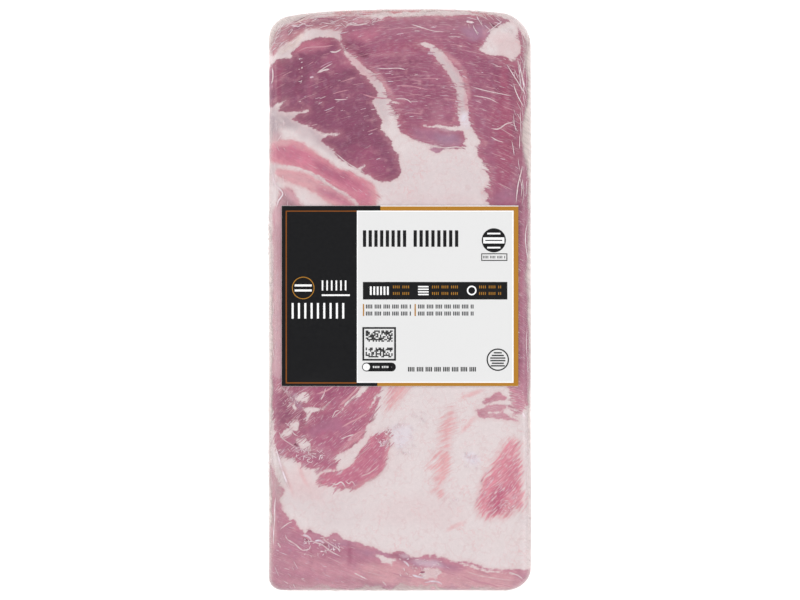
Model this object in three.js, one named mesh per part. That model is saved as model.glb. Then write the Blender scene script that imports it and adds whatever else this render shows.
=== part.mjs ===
// A whole slab of skinless pork belly, shrunk tight in a clear vacuum bag, with a wide printed
// label on its lean face. Millimetres, +Z up. The slab lies on its fat side with the lean face
// up, its long side along Y and its shoulder end towards +Y. The origin is the middle of the
// resting face.
import * as THREE from "three";

// ---- driving dimensions ----

const WIDTH = 262; // over the bulge of the long sides
const LENGTH = 581; // over the bulge of the ends
const SHOULDER_THICKNESS = 40.5; // at the +Y end
const FLANK_THICKNESS = 35.5; // at the -Y end
const WAIST = 0.46; // height of the widest line, as a share of the thickness

// How far each side rolls in, from the widest line to the flat of the upper and lower faces.
const ROLL = { left: 10.5, right: 12, shoulder: 14, flank: 8 };
// Corner radii of those flats, seen from above.
const CORNER = { shoulderLeft: 9, shoulderRight: 18, flankLeft: 4.5, flankRight: 15 };
const UPPER_SQUARENESS = 2.5; // superellipse exponents of the side's profile
const LOWER_SQUARENESS = 3.2;

const SHOULDER_BOW = 9; // how far the shoulder end's corners fall back behind its middle
const BOW_MIDDLE = 8; // x of that middle
const BOW_POWER = 3;

const SIDE_LAYER_DEPTH = 1.1; // grooves between the layers of fat and lean along the sides
const SIDE_LAYERS = 2.5;
const SIDE_WOBBLE = 0.9; // slow in and out of the cut sides

const LABEL = { left: -118, right: 118, bottom: -86, top: 94, thickness: 0.5, gap: 0.35 };

// Muscles that stand a little above the fat round them: middle, half length and half width,
// the turn of the long axis from +X, and the rise.
const MUSCLES = [
  { name: "shoulder muscle", x: -72, y: 196, half: [62, 44], turn: 62, rise: 1.7 },
  { name: "its tongue", x: -34, y: 146, half: [42, 22], turn: -52, rise: 1.3 },
  { name: "middle muscle", x: 16, y: 208, half: [60, 30], turn: -68, rise: 1.3 },
  { name: "right strip", x: 103, y: 150, half: [110, 17], turn: 88, rise: 1.5 },
  { name: "shoulder band", x: 14, y: 268, half: [100, 15], turn: 0, rise: 1.1 },
  { name: "pink muscle", x: -80, y: 132, half: [58, 14], turn: -32, rise: 1.6 },
  { name: "flank muscle", x: -74, y: -116, half: [52, 40], turn: 35, rise: 1.9 },
  { name: "crescent", x: -44, y: -170, half: [44, 14], turn: 48, rise: 1.5 },
  { name: "right flank patch", x: 98, y: -182, half: [42, 19], turn: 68, rise: 0.9 },
  { name: "right sliver", x: 104, y: -104, half: [28, 13], turn: 8, rise: 1.1 },
  { name: "flank band", x: -48, y: -264, half: [112, 20], turn: -9, rise: 1.3 },
];

// ---- mesh fineness ----

const EDGE_STEPS = [0, 2, 4.5, 7.5, 11, 15.5, 22]; // grid lines near an edge, from that edge
const FACE_STEP = 11.5; // spacing of the grid lines over the rest of a face
const UPPER_RINGS = 5; // from the upper face down to the widest line
const LOWER_RINGS = 4; // from there down to the lower face
const LABEL_STEP = 11.8;

// ---- small helpers ----

const lerp = THREE.MathUtils.lerp;
const smoothstep = THREE.MathUtils.smoothstep;

// Grid lines from low to high: fine near both ends, even in between.
function gridLines(low, high) {
  const inner = EDGE_STEPS.at(-1);
  const start = low + inner;
  const cells = Math.round((high - low - 2 * inner) / FACE_STEP);
  const step = (high - low - 2 * inner) / cells;
  const middle = Array.from({ length: cells - 1 }, (_, i) => start + step * (i + 1));
  const near = EDGE_STEPS.map((d) => low + d);
  const far = EDGE_STEPS.map((d) => high - d).reverse();
  return [...near, ...middle, ...far];
}

// ---- the form of the slab ----

// Thickness at y, falling evenly from the shoulder end to the flank end.
const thickness = (y) => lerp(FLANK_THICKNESS, SHOULDER_THICKNESS, y / LENGTH + 0.5);

// A muscle's rise at (x, y): full over its middle, falling to nothing past its outline.
function muscleRise(muscle, x, y) {
  const turn = THREE.MathUtils.degToRad(muscle.turn);
  const along = (x - muscle.x) * Math.cos(turn) + (y - muscle.y) * Math.sin(turn);
  const across = (y - muscle.y) * Math.cos(turn) - (x - muscle.x) * Math.sin(turn);
  const reach = Math.hypot(along / muscle.half[0], across / muscle.half[1]);
  return muscle.rise * (1 - smoothstep(reach, 0.5, 1.25));
}

// Height of the upper face: thickness, muscles and a slow ripple.
function upperHeight(x, y) {
  const muscles = MUSCLES.reduce((sum, muscle) => sum + muscleRise(muscle, x, y), 0);
  const ripple = 0.45 * Math.sin(x / 23 + 0.6) * Math.sin(y / 41 + 1.1);
  return thickness(y) + muscles + ripple;
}

// The flats of both faces are one rectangle with round corners, inside the rolled edges.
const FLAT = {
  x0: -WIDTH / 2 + ROLL.left,
  x1: WIDTH / 2 - ROLL.right,
  y0: -LENGTH / 2 + ROLL.flank,
  y1: LENGTH / 2 - ROLL.shoulder,
};

// A point of that rectangle, moved so that the square corners become round ones. Each corner's
// square maps onto a quarter disc, and its two far sides onto the arc.
function roundCorner(x, y) {
  const right = x > 0;
  const shoulder = y > 0;
  const end = shoulder ? "shoulder" : "flank";
  const radius = CORNER[end + (right ? "Right" : "Left")];
  const sx = right ? 1 : -1;
  const sy = shoulder ? 1 : -1;
  const cx = (right ? FLAT.x1 : FLAT.x0) - sx * radius;
  const cy = (shoulder ? FLAT.y1 : FLAT.y0) - sy * radius;
  const a = ((x - cx) * sx) / radius;
  const b = ((y - cy) * sy) / radius;
  if (a <= 0 || b <= 0) return { x, y, nx: a > b ? sx : 0, ny: a > b ? 0 : sy };
  const reach = Math.max(a, b);
  const angle = a >= b ? (Math.PI / 4) * (b / a) : Math.PI / 2 - (Math.PI / 4) * (a / b);
  const nx = sx * Math.cos(angle);
  const ny = sy * Math.sin(angle);
  return { x: cx + nx * radius * reach, y: cy + ny * radius * reach, nx, ny };
}

// The bow of the shoulder end: points fall back towards -Y, more towards the corners.
function bowed(x, y) {
  const share = Math.max(0, y / (LENGTH / 2)) ** 4;
  const off = Math.abs(x - BOW_MIDDLE) / (WIDTH / 2);
  return y - SHOULDER_BOW * share * off ** BOW_POWER;
}

// How far the side stands out from the flat at a place with the outward normal (nx, ny).
function rollAt(nx, ny) {
  const acrossRoll = nx > 0 ? ROLL.right : ROLL.left;
  const alongRoll = ny > 0 ? ROLL.shoulder : ROLL.flank;
  return nx * nx * acrossRoll + ny * ny * alongRoll;
}

// Unevenness of the cut side, always inwards: layer grooves that wander, and a slow wobble.
function sideHollow(x, y, height) {
  const around = x / 37 + y / 53;
  const groove = 0.5 - 0.5 * Math.cos(2 * Math.PI * SIDE_LAYERS * height + Math.sin(around));
  const wobble = 0.5 - 0.5 * Math.cos(around * 1.7 + 2.7);
  return SIDE_LAYER_DEPTH * groove + SIDE_WOBBLE * wobble;
}

// One point of the side wall. ring runs from 0, the upper flat's rim, to 1, the widest line,
// and on to 2, the lower flat's rim.
function sidePoint(rim, ring) {
  const upper = ring <= 1;
  const top = upperHeight(rim.x, rim.y);
  const waist = WAIST * thickness(rim.y);
  const angle = ((upper ? ring : 2 - ring) * Math.PI) / 2;
  const power = 2 / (upper ? UPPER_SQUARENESS : LOWER_SQUARENESS);
  const out = Math.sin(angle) ** power;
  const rise = Math.cos(angle) ** power;
  const z = upper ? waist + (top - waist) * rise : waist * (1 - rise);
  const reach = rollAt(rim.nx, rim.ny) * out - sideHollow(rim.x, rim.y, z / top) * out ** 4;
  const x = rim.x + rim.nx * reach;
  return [x, bowed(x, rim.y + rim.ny * reach), z];
}

// ---- meshes ----

// Two triangles for the quad a, b, c, d, named anticlockwise from outside.
const quad = (a, b, c, d) => [a, b, c, a, c, d];

function solidGeometry(points, triangles) {
  const geometry = new THREE.BufferGeometry();
  geometry.setAttribute("position", new THREE.Float32BufferAttribute(points.flat(), 3));
  geometry.setIndex(triangles);
  geometry.computeVertexNormals();
  return geometry;
}

// Indices of a grid's rim, anticlockwise from its low corner.
function rimOf(columns, rows) {
  const at = (i, j) => j * columns + i;
  const rim = [];
  for (let i = 0; i < columns - 1; i++) rim.push(at(i, 0));
  for (let j = 0; j < rows - 1; j++) rim.push(at(columns - 1, j));
  for (let i = columns - 1; i > 0; i--) rim.push(at(i, rows - 1));
  for (let j = rows - 1; j > 0; j--) rim.push(at(0, j));
  return rim;
}

// Triangles of a grid's upper side, or of its under side.
function gridTriangles(columns, rows, first, up) {
  const triangles = [];
  for (let j = 0; j < rows - 1; j++) {
    for (let i = 0; i < columns - 1; i++) {
      const a = first + j * columns + i;
      const corners = [a, a + 1, a + columns + 1, a + columns];
      triangles.push(...quad(...(up ? corners : corners.reverse())));
    }
  }
  return triangles;
}

// Triangles between two loops of points, the first one above the second.
function bandTriangles(upper, lower) {
  return upper.flatMap((_, i) => {
    const next = (i + 1) % upper.length;
    return quad(lower[i], lower[next], upper[next], upper[i]);
  });
}

// The slab in its bag: an upper and a lower face on one grid, and rings of points between.
function slabGeometry() {
  const xs = gridLines(FLAT.x0, FLAT.x1);
  const ys = gridLines(FLAT.y0, FLAT.y1);
  const plan = ys.flatMap((y) => xs.map((x) => roundCorner(x, y)));
  const count = plan.length;
  const points = [
    ...plan.map((p) => [p.x, bowed(p.x, p.y), upperHeight(p.x, p.y)]),
    ...plan.map((p) => [p.x, bowed(p.x, p.y), 0]),
  ];
  const triangles = [
    ...gridTriangles(xs.length, ys.length, 0, true),
    ...gridTriangles(xs.length, ys.length, count, false),
  ];
  const rim = rimOf(xs.length, ys.length);
  const lowerRim = rim.map((i) => i + count);
  const rings = UPPER_RINGS + LOWER_RINGS;
  let above = rim;
  for (let k = 1; k < rings; k++) {
    const ring = k <= UPPER_RINGS ? k / UPPER_RINGS : 1 + (k - UPPER_RINGS) / LOWER_RINGS;
    const loop = rim.map((i) => points.push(sidePoint(plan[i], ring)) - 1);
    triangles.push(...bandTriangles(above, loop));
    above = loop;
  }
  triangles.push(...bandTriangles(above, lowerRim));
  return solidGeometry(points, triangles);
}

// The label: a thin sheet that follows the upper face a hair above it.
function labelGeometry() {
  const columns = Math.round((LABEL.right - LABEL.left) / LABEL_STEP) + 1;
  const rows = Math.round((LABEL.top - LABEL.bottom) / LABEL_STEP) + 1;
  const sheetPoints = (lift) =>
    Array.from({ length: columns * rows }, (_, n) => {
      const x = lerp(LABEL.left, LABEL.right, (n % columns) / (columns - 1));
      const y = lerp(LABEL.bottom, LABEL.top, Math.floor(n / columns) / (rows - 1));
      return [x, y, upperHeight(x, y) + lift];
    });
  const count = columns * rows;
  const points = [...sheetPoints(LABEL.gap + LABEL.thickness), ...sheetPoints(LABEL.gap)];
  const rim = rimOf(columns, rows);
  const lowerRim = rim.map((i) => i + count);
  const triangles = [
    ...gridTriangles(columns, rows, 0, true),
    ...gridTriangles(columns, rows, count, false),
    ...bandTriangles(rim, lowerRim),
  ];
  return solidGeometry(points, triangles);
}

// ---- materials and parts ----

const meatInFilm = new THREE.MeshStandardMaterial({
  color: new THREE.Color(0.76, 0.56, 0.6),
  roughness: 0.3,
  metalness: 0,
});
const printedLabel = new THREE.MeshStandardMaterial({
  color: new THREE.Color(0.9, 0.9, 0.9),
  roughness: 0.45,
  metalness: 0,
});

function part(name, geometry, material) {
  const mesh = new THREE.Mesh(geometry, material);
  mesh.name = name;
  return mesh;
}

const packedBelly = new THREE.Group();
packedBelly.add(part("bagged_slab", slabGeometry(), meatInFilm));
packedBelly.add(part("label", labelGeometry(), printedLabel));

export default packedBelly;
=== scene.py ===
"""A whole slab of pork belly, lean face up, shrunk tight in clear film, with a printed label.

The slab lies on its fat side. +X is to the right as the label is read, +Y runs to the shoulder
end and +Z stands out of the lean face. Shapes are worked out in millimetres and become metres
when they are put into a mesh.
"""

import math
from typing import NamedTuple

import bpy
import numpy as np
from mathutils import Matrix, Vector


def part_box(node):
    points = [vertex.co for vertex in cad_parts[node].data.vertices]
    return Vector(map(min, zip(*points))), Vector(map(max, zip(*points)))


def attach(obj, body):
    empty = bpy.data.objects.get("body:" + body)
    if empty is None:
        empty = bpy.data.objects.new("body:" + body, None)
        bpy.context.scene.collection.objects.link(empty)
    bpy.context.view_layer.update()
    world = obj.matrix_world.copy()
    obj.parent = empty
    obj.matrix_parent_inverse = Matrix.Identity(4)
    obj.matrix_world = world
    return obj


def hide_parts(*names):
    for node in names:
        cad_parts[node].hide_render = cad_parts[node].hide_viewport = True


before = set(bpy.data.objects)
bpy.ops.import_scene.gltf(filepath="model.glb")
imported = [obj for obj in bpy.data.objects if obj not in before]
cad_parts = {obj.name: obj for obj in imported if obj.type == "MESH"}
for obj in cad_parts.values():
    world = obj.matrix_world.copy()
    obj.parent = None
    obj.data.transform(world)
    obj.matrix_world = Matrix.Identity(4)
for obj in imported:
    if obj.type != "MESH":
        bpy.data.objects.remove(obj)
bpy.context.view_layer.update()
label_low, label_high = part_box("label")

bl_info = {
    "name": "Vacuum-packed pork belly",
    "version": (1, 0, 0),
    "blender": (4, 5, 0),
    "location": "3D View > Sidebar > Belly",
    "description": "Builds the meat, film, label and stage of a vacuum-packed pork belly slab",
    "category": "Object",
}

MM = 0.001


# ---- sizes that the slab's solid also has, in millimetres ----

WIDTH = 262.0
LENGTH = 581.0
SHOULDER_THICKNESS = 40.5
FLANK_THICKNESS = 35.5
WAIST = 0.46  # height of the widest line, as a share of the thickness
ROLL = {"left": 10.5, "right": 12.0, "shoulder": 14.0, "flank": 8.0}
CORNER = {(-1, 1): 9.0, (1, 1): 18.0, (-1, -1): 4.5, (1, -1): 15.0}  # by sign of x and of y
UPPER_SQUARENESS = 2.5
LOWER_SQUARENESS = 3.2
SHOULDER_BOW = 9.0
BOW_MIDDLE = 8.0
BOW_POWER = 3.0  # how steeply the bow grows outwards
BOW_GROWTH = 4  # and towards the shoulder end
RIPPLE = 0.45
SIDE_LAYER_DEPTH = 1.1
SIDE_LAYERS = 2.5
SIDE_WOBBLE = 0.9

FLAT_X = (-WIDTH / 2 + ROLL["left"], WIDTH / 2 - ROLL["right"])
FLAT_Y = (-LENGTH / 2 + ROLL["flank"], LENGTH / 2 - ROLL["shoulder"])

# the label's rectangle, from its solid
LABEL_LEFT, LABEL_HEAD = label_low.x / MM, label_high.y / MM
LABEL_WIDTH, LABEL_HEIGHT = (label_high.x - label_low.x) / MM, (label_high.y - label_low.y) / MM


# ---- numbers for the finer surfaces, with lengths in millimetres ----

UPPER_RINGS = 13  # rings of points from the upper flat to the widest line
LOWER_RINGS = 10  # from there to the lower flat
UNDER_RINGS = 10  # and across the lower flat
RIM_MARGIN = 0.9  # threads and creases keep this far inside the rim
SIDE_LOSS = 0.8  # how far the hollows draw the sides in, taken all round
BRIDGED_SHARE = 0.8  # how much of the sides' hollows the meat and the film fill
SIDE_GAP_LOSS = 0.85  # how much smaller the gap between meat and film is at the sides
SIDE_TURN = 0.8  # how much X counts beside Y along the sides
RIM_BAND = 14.0  # width of the band by the rims where the film lies less tight
CLEAR_MILK = 0.02  # the least that the film shows
FEELER = 1.5  # how far ahead along a fibre the next edge is felt for
THREAD_TRIES = 16000  # random places that short threads are tried at
SINEW_TRIES = 3200  # and sinews
THREAD_PLACES = 8  # places along a short thread
SINEW_PLACES = 16  # along a sinew
DRAWN_PLACES = 24  # along a crease, and along a thread that is listed below
THREAD_LEVELS = (-0.85, -0.44, -0.27)  # foot, waist and crest over the slab's solid
CREASE_LEVELS = (-0.1, 0.14, 0.27)
INK = 0.06  # depth of the label's small print


class Oval(NamedTuple):
    """A soft oval on the plan: its middle, half length, half width, turn in degrees, and its
    strength, which is a muscle's rise in millimetres or how milky the film is."""

    x: float
    y: float
    long: float
    wide: float
    turn: float
    strength: float


# the muscles that stand above the fat
MUSCLES = [Oval(*row) for row in (
    (-72, 196, 62, 44, 62, 1.7),  # shoulder muscle
    (-34, 146, 42, 22, -52, 1.3),  # its tongue
    (16, 208, 60, 30, -68, 1.3),  # middle muscle
    (103, 150, 110, 17, 88, 1.5),  # right strip
    (14, 268, 100, 15, 0, 1.1),  # shoulder band
    (-80, 132, 58, 14, -32, 1.6),  # pink muscle
    (-74, -116, 52, 40, 35, 1.9),  # flank muscle
    (-44, -170, 44, 14, 48, 1.5),  # crescent
    (98, -182, 42, 19, 68, 0.9),  # right flank patch
    (104, -104, 28, 13, 8, 1.1),  # right sliver
    (-48, -264, 112, 20, -9, 1.3),  # flank band
)]


# ---- the pattern of the lean face ----


class Lean(NamedTuple):
    """A patch of lean: its colour's name, the way its fibres run in degrees from +X, how far
    they bend over 100 mm, how far its edge frays along them, how soft the edge is, how much of
    the fat over it lets it show, how many white flecks it has, and its outline."""

    tint: str
    turn: float
    bend: float
    fray: float
    soft: float
    share: float
    flecks: float
    outline: tuple


LEANS = (
    # the dark shoulder muscle with its tongue
    Lean("shoulder_lean", 18, -16, 2.4, 0.9, 1.0, 0.25, (
        (-137, 226), (-130, 233), (-124, 239), (-110, 241.5), (-107, 247), (-98, 256), (-90, 260),
        (-80, 262), (-67, 262), (-60, 257), (-52, 241), (-42, 230), (-32, 220), (-25, 210), (-21, 204),
        (-27, 199), (-23, 187), (-18, 179), (-19, 173), (-13, 162), (-9, 157), (-7, 149),
        (-2, 144), (0, 134), (1, 127), (-4, 121), (-16, 118), (-25, 120.5), (-36, 127),
        (-50, 134), (-59, 140), (-66, 148), (-73, 153), (-79, 160), (-76, 164), (-88, 172),
        (-100, 176), (-107, 180), (-102, 186), (-120, 187), (-119, 191), (-124, 192),
        (-137, 189))),
    # the lean right of the diagonal seam, with the strip down the right edge
    Lean("middle_lean", -10, -22, 4.0, 0.9, 1.0, 0.7, (
        (-58, 254), (-48, 244), (-38, 235), (-25, 223), (-16, 212), (-10, 196), (-3, 182),
        (0, 169), (11, 161), (25, 156), (45, 152), (62, 151), (64, 160), (65, 171),
        (61, 186), (64, 195), (68, 184), (71, 173), (76, 164), (80.5, 156), (76, 153),
        (79, 143), (84, 136), (87, 127), (91, 118.5), (84, 110), (89, 103), (85, 99),
        (90, 94), (104, 66), (116, 44), (117, 0), (114, -70), (118, -96), (137, -90),
        (137, 100), (137, 240), (127, 258), (119, 270), (108, 279), (96, 284), (70, 285), (45, 284),
        (15, 283.5), (-10, 282.5), (-30, 280), (-56, 277), (-58, 262))),
    Lean("silver_skin", -10, 0, 0.6, 0.8, 1.0, 0.2, (
        (29, 151.5), (31.5, 148), (38, 147), (44, 150), (46, 152))),
    # the thin lean layer that shows where the shoulder end rolls over
    Lean("end_lean", 0, 0, 0.4, 0.7, 1.0, 0.6, (
        (-62, 284.5), (-30, 285.5), (0, 287), (20, 288), (60, 288), (86, 285), (84, 287),
        (60, 289.4), (20, 290.2), (-20, 289.6), (-62, 287.8))),
    # lean under the gathered film in the shoulder's left corner
    Lean("corner_lean", 24, 0, 1.4, 1.6, 0.95, 1.4, (
        (-128, 244), (-129, 260), (-121, 270), (-108, 277), (-90, 281), (-55, 283.5), (-30, 283),
        (-34, 277), (-47, 276), (-55, 270), (-60, 268), (-70, 269), (-80, 270), (-92, 270),
        (-98, 266), (-104, 261), (-114, 256), (-122, 250))),
    # the two pink muscles below the shoulder muscle
    Lean("pink_lean", -30, -8, 3.0, 2.1, 1.0, 0.35, (
        (-135, 150), (-122, 158), (-112, 160), (-99, 157), (-88, 150), (-76, 142), (-64, 133),
        (-50, 128), (-37, 122), (-27, 115), (-22, 105), (-25, 95), (-32, 90), (-40, 93),
        (-50, 101), (-63, 111), (-77, 120), (-89, 127), (-100, 130), (-112, 134),
        (-130, 138))),
    Lean("rose_lean", -26, -8, 3.0, 2.05, 0.9, 0.3, (
        (-123, 130), (-108, 129.5), (-91, 124.5), (-76, 116.5), (-63, 108), (-50, 99.5),
        (-40, 88), (-46, 84), (-66, 94), (-82, 104), (-93, 111), (-108, 117), (-120, 123))),
    Lean("purple_lean", -44, 0, 2.0, 2.0, 0.8, 0.5, (
        (-119, 110), (-110, 112), (-102, 102), (-98, 90), (-110, 86), (-124, 88),
        (-122, 102))),
    # lean half hidden beside the label
    Lean("purple_lean", 88, 0, 2.0, 1.6, 0.75, 0.5, (
        (-127, 88), (-114, 92), (-114, 0), (-113, -78), (-128, -84), (-128.5, -30),
        (-127, 30))),
    # the flank muscle and the crescent beside it
    Lean("flank_lean", 40, 6, 8.0, 1.0, 1.0, 1.0, (
        (-128, -72), (-19, -72), (-20, -88), (-22, -95), (-22, -103), (-25, -111), (-28, -119),
        (-33, -126), (-37, -137), (-44, -143), (-53, -150), (-62, -154), (-64, -160),
        (-63, -169), (-70, -170), (-84, -169), (-92, -167), (-99, -163), (-108, -158),
        (-116, -157), (-120, -153), (-125, -146), (-126, -120))),
    Lean("crescent_lean", 42, 16, 7.0, 1.0, 1.0, 1.1, (
        (-14, -130), (-21, -132), (-27, -135), (-31, -140), (-36, -145), (-40, -152),
        (-43, -158), (-50, -165), (-58, -170), (-70, -172), (-78, -173), (-82, -177),
        (-81, -181), (-77, -185), (-68, -186), (-62, -188), (-55, -188.5), (-50, -187.5),
        (-46, -190), (-41, -187), (-36, -183), (-28, -179), (-21, -174), (-15, -167),
        (-12.5, -156), (-10.5, -146), (-12, -140), (-9, -135))),
    # the slivers in the flank's right edge
    Lean("purple_lean", 8, 0, 1.6, 0.9, 1.0, 0.9, (
        (82, -101), (83, -99), (88, -97), (92, -94), (96, -92), (100, -92), (102, -95.5),
        (106, -97), (104, -100), (98, -100), (92, -102), (87, -104), (84, -103))),
    Lean("purple_lean", -6, 0, 1.6, 0.9, 0.9, 1.2, (
        (74, -111), (76, -109), (82, -108), (86, -105), (94, -104), (103, -105), (106, -108),
        (102, -111), (108, -115), (116, -119), (118, -121), (108, -119.5), (100, -118),
        (90, -117), (80, -118), (77, -116), (77, -113))),
    Lean("sliver_lean", -15, 10, 8.0, 1.3, 0.95, 2.0, (
        (104, -78), (134, -78), (129, -96), (126.5, -104), (124.5, -110), (118, -113),
        (112, -114), (116, -109), (108, -107), (112, -102), (107, -99), (111, -93))),
    # the soft patch low on the right
    Lean("patch_lean", 46, -8, 6.0, 2.8, 1.0, 2.6, (
        (107, -137), (112, -137), (118, -140), (121, -146), (122, -155), (124, -165),
        (123, -175), (124, -185), (125, -192), (127, -203), (124, -209), (117, -212),
        (112, -216), (105, -219), (98, -219), (90, -220), (83, -219), (79, -216), (75, -210),
        (74, -203), (77, -193), (80, -185), (81, -179), (86, -171), (90, -164), (94, -155),
        (100, -146))),
    # faint streaks under the fat
    Lean("faint_lean", 48, 0, 8.0, 2.6, 0.75, 0.0, (
        (-14, -84), (10, -84), (9, -91), (2, -98), (-3, -104), (-8, -108), (-13, -111),
        (-16, -111), (-14, -104), (-17, -101), (-13, -94))),
    Lean("faint_lean", 24, 0, 8.0, 2.6, 0.7, 0.0, (
        (52, -106), (55, -118), (54, -130), (51, -138), (51, -147), (46, -149), (38, -148),
        (41, -143), (37, -140), (41, -134), (36, -132), (40, -126), (43, -118), (47, -111))),
    Lean("faint_lean", 40, 0, 8.0, 2.6, 0.75, 0.0, (
        (32, -152), (40, -150), (49, -153), (50, -162), (49, -172), (46, -180), (41, -186),
        (44, -192), (41, -197), (37, -193), (30, -192), (37, -185), (34, -180), (31, -178),
        (37, -172), (31, -170), (28, -166), (36, -160), (31, -158))),
    # the dark band along the flank end, with the strip up its left edge
    Lean("band_lean", -18, 5, 1.6, 1.0, 1.0, 0.5, (
        (-137, -166), (-127, -168), (-121, -181), (-116, -188), (-117, -193), (-120, -198),
        (-118, -204), (-116, -211), (-110, -219), (-106, -219), (-102, -227), (-97, -230),
        (-94, -233), (-92, -229), (-88, -228.5), (-85, -233), (-80, -234), (-75, -237),
        (-70, -234), (-66, -232.5), (-62, -233), (-57, -238), (-50, -240), (-40, -243),
        (-30, -246), (-22, -249), (-15, -251.5), (-8, -252), (-4, -250), (1, -250.5),
        (6, -253.5), (12, -256), (20, -256), (27, -253.5), (30, -257), (33, -254),
        (38, -257), (44, -256.5), (50, -259), (57, -261.5), (62, -260), (70, -261),
        (78, -264), (84, -267), (90, -268), (100, -269), (115, -268), (124, -269),
        (137, -271), (137, -300), (-137, -300))),
)


class Seam(NamedTuple):
    """A line of fat through the lean: how ragged its edges are, and (x, y, half width)
    points."""

    ragged: float
    points: tuple


SEAMS = (
    # the second seam, from the shoulder band down between the middle muscle and the strip
    Seam(1.0, ((18, 256.5, 0.5), (25, 255, 2.2), (32, 251.5, 3.2), (41, 242, 4.2), (50, 231, 5.2),
               (57, 220, 5.4), (61, 208, 4.6), (62.5, 196, 4.4), (63, 184, 5.6), (66, 171, 4.4),
               (69, 160, 4.0))),
    Seam(0.4, ((24, 173, 0.5), (38, 172.5, 1.1), (50, 171, 1.6), (58, 171, 2.4), (67, 172, 3.0))),
    # ticks out of the seams into the muscles beside them
    Seam(0.3, ((-12, 199, 1.4), (0, 196, 0.3))),
    Seam(0.3, ((-120, 186, 2.2), (-103, 186.5, 1.4), (-92, 188, 0.3))),
    Seam(0.3, ((-129, 190, 1.6), (-122, 194.5, 1.4), (-114, 198.5, 0.3))),
    Seam(0.3, ((-80, 163, 1.8), (-70, 164.5, 1.2), (-60, 165.5, 0.3))),
    Seam(0.3, ((-42, 128, 2.2), (-38, 131, 1.4), (-34, 134, 0.3))),
    # the cream line between the two pink muscles
    Seam(0.2, ((-125, 134, 1.2), (-108, 133, 1.4), (-89, 126.5, 1.5), (-76, 118.5, 1.5),
               (-62, 109, 1.4), (-48.5, 101.5, 1.4), (-38, 90, 1.5))),
    # lines of fat in the flank muscle
    Seam(0.2, ((-118, -87, 0.6), (-112, -93, 0.9), (-107, -101, 0.7))),
    Seam(0.2, ((-88, -107.5, 0.9), (-80, -108.5, 1.0), (-73, -106.5, 0.4))),
    Seam(0.3, ((-58, -112, 0.4), (-54, -104, 0.8), (-49, -100, 1.0))),
    Seam(0.3, ((-30, -110, 0.4), (-27, -102, 0.8), (-21, -93, 1.2))),
    # the line of fat along the top of the flank band, at its right end
    Seam(0.3, ((50, -260, 0.4), (62, -262.8, 0.9), (74, -266.5, 1.2), (86, -270.2, 1.1),
               (100, -272, 0.7), (114, -273, 0.4))),
    # fat between the flesh of the right sliver
    Seam(0.2, ((88, -112.4, 0.4), (97, -112.2, 0.9), (107, -112.6, 0.5))),
    Seam(0.2, ((88, -103.6, 0.4), (97, -102.6, 1.0), (108, -102.6, 0.8))),
)


class Patch(NamedTuple):
    """A closed outline of fat that lies over the lean, and how ragged its edge is."""

    ragged: float
    outline: tuple


FATS = (
    # the shoulder's right corner
    Patch(0.4, ((77.5, 249.5), (82, 254), (86, 261), (89, 267), (93, 271), (103, 275),
                (111, 276.5), (116, 274), (118, 267), (119, 258), (121, 250), (118, 244.5),
                (114, 239), (110, 237.5), (106, 241.5), (101, 243.5), (95, 243.5), (87, 245.5))),
    # lumps in the flank muscle
    Patch(0.1, ((-104, -96), (-100, -93), (-97, -91), (-92, -92), (-89.5, -96), (-91, -101),
                (-95, -103), (-98, -102), (-101, -100), (-105, -99), (-107, -96))),
    Patch(0.2, ((-108, -103), (-105, -102), (-103.5, -106), (-103, -109), (-106, -109))),
    Patch(0.3, ((-97, -107.5), (-88, -107), (-76, -108), (-82, -110), (-88, -112.5), (-92, -119),
                (-94, -125), (-94.5, -119), (-92, -113), (-95, -110.5))),
    Patch(0.2, ((-107, -120), (-103, -119), (-101, -124), (-102, -130), (-106, -130),
                (-110, -127), (-109, -122))),
    Patch(0.3, ((-119, -134), (-116, -130), (-110, -128), (-107, -131), (-108, -134),
                (-114, -136), (-118, -137))),
    Patch(0.2, ((-104, -141), (-98, -138), (-93, -138), (-91, -141), (-90, -146), (-89, -150),
                (-95, -150), (-100, -147))),
    Patch(0.4, ((-49, -99), (-47, -96), (-42, -92), (-39, -84), (-30, -84), (-38, -93),
                (-44, -98))),
    # lumps in the flank band
    Patch(1.0, ((-25, -255), (-20, -254), (-14, -257), (-9, -258), (-4, -260), (-9, -262),
                (-8, -265), (-13, -262), (-17, -262), (-20, -258))),
    Patch(6.0, ((23, -269), (28, -266), (32, -268), (37, -268), (41, -271), (38, -274),
                (36, -278), (31, -277), (25, -279), (21, -275))),
)


class Stain(NamedTuple):
    """A soft oval of colour over the lean or over the fat: middle, half sizes, turn, colour's
    name and strength."""

    x: float
    y: float
    long: float
    wide: float
    turn: float
    tint: str
    strength: float


class Line(NamedTuple):
    """A thread of fat or flesh: its colour's name, half width and places."""

    tint: str
    half: float
    points: tuple


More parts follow.
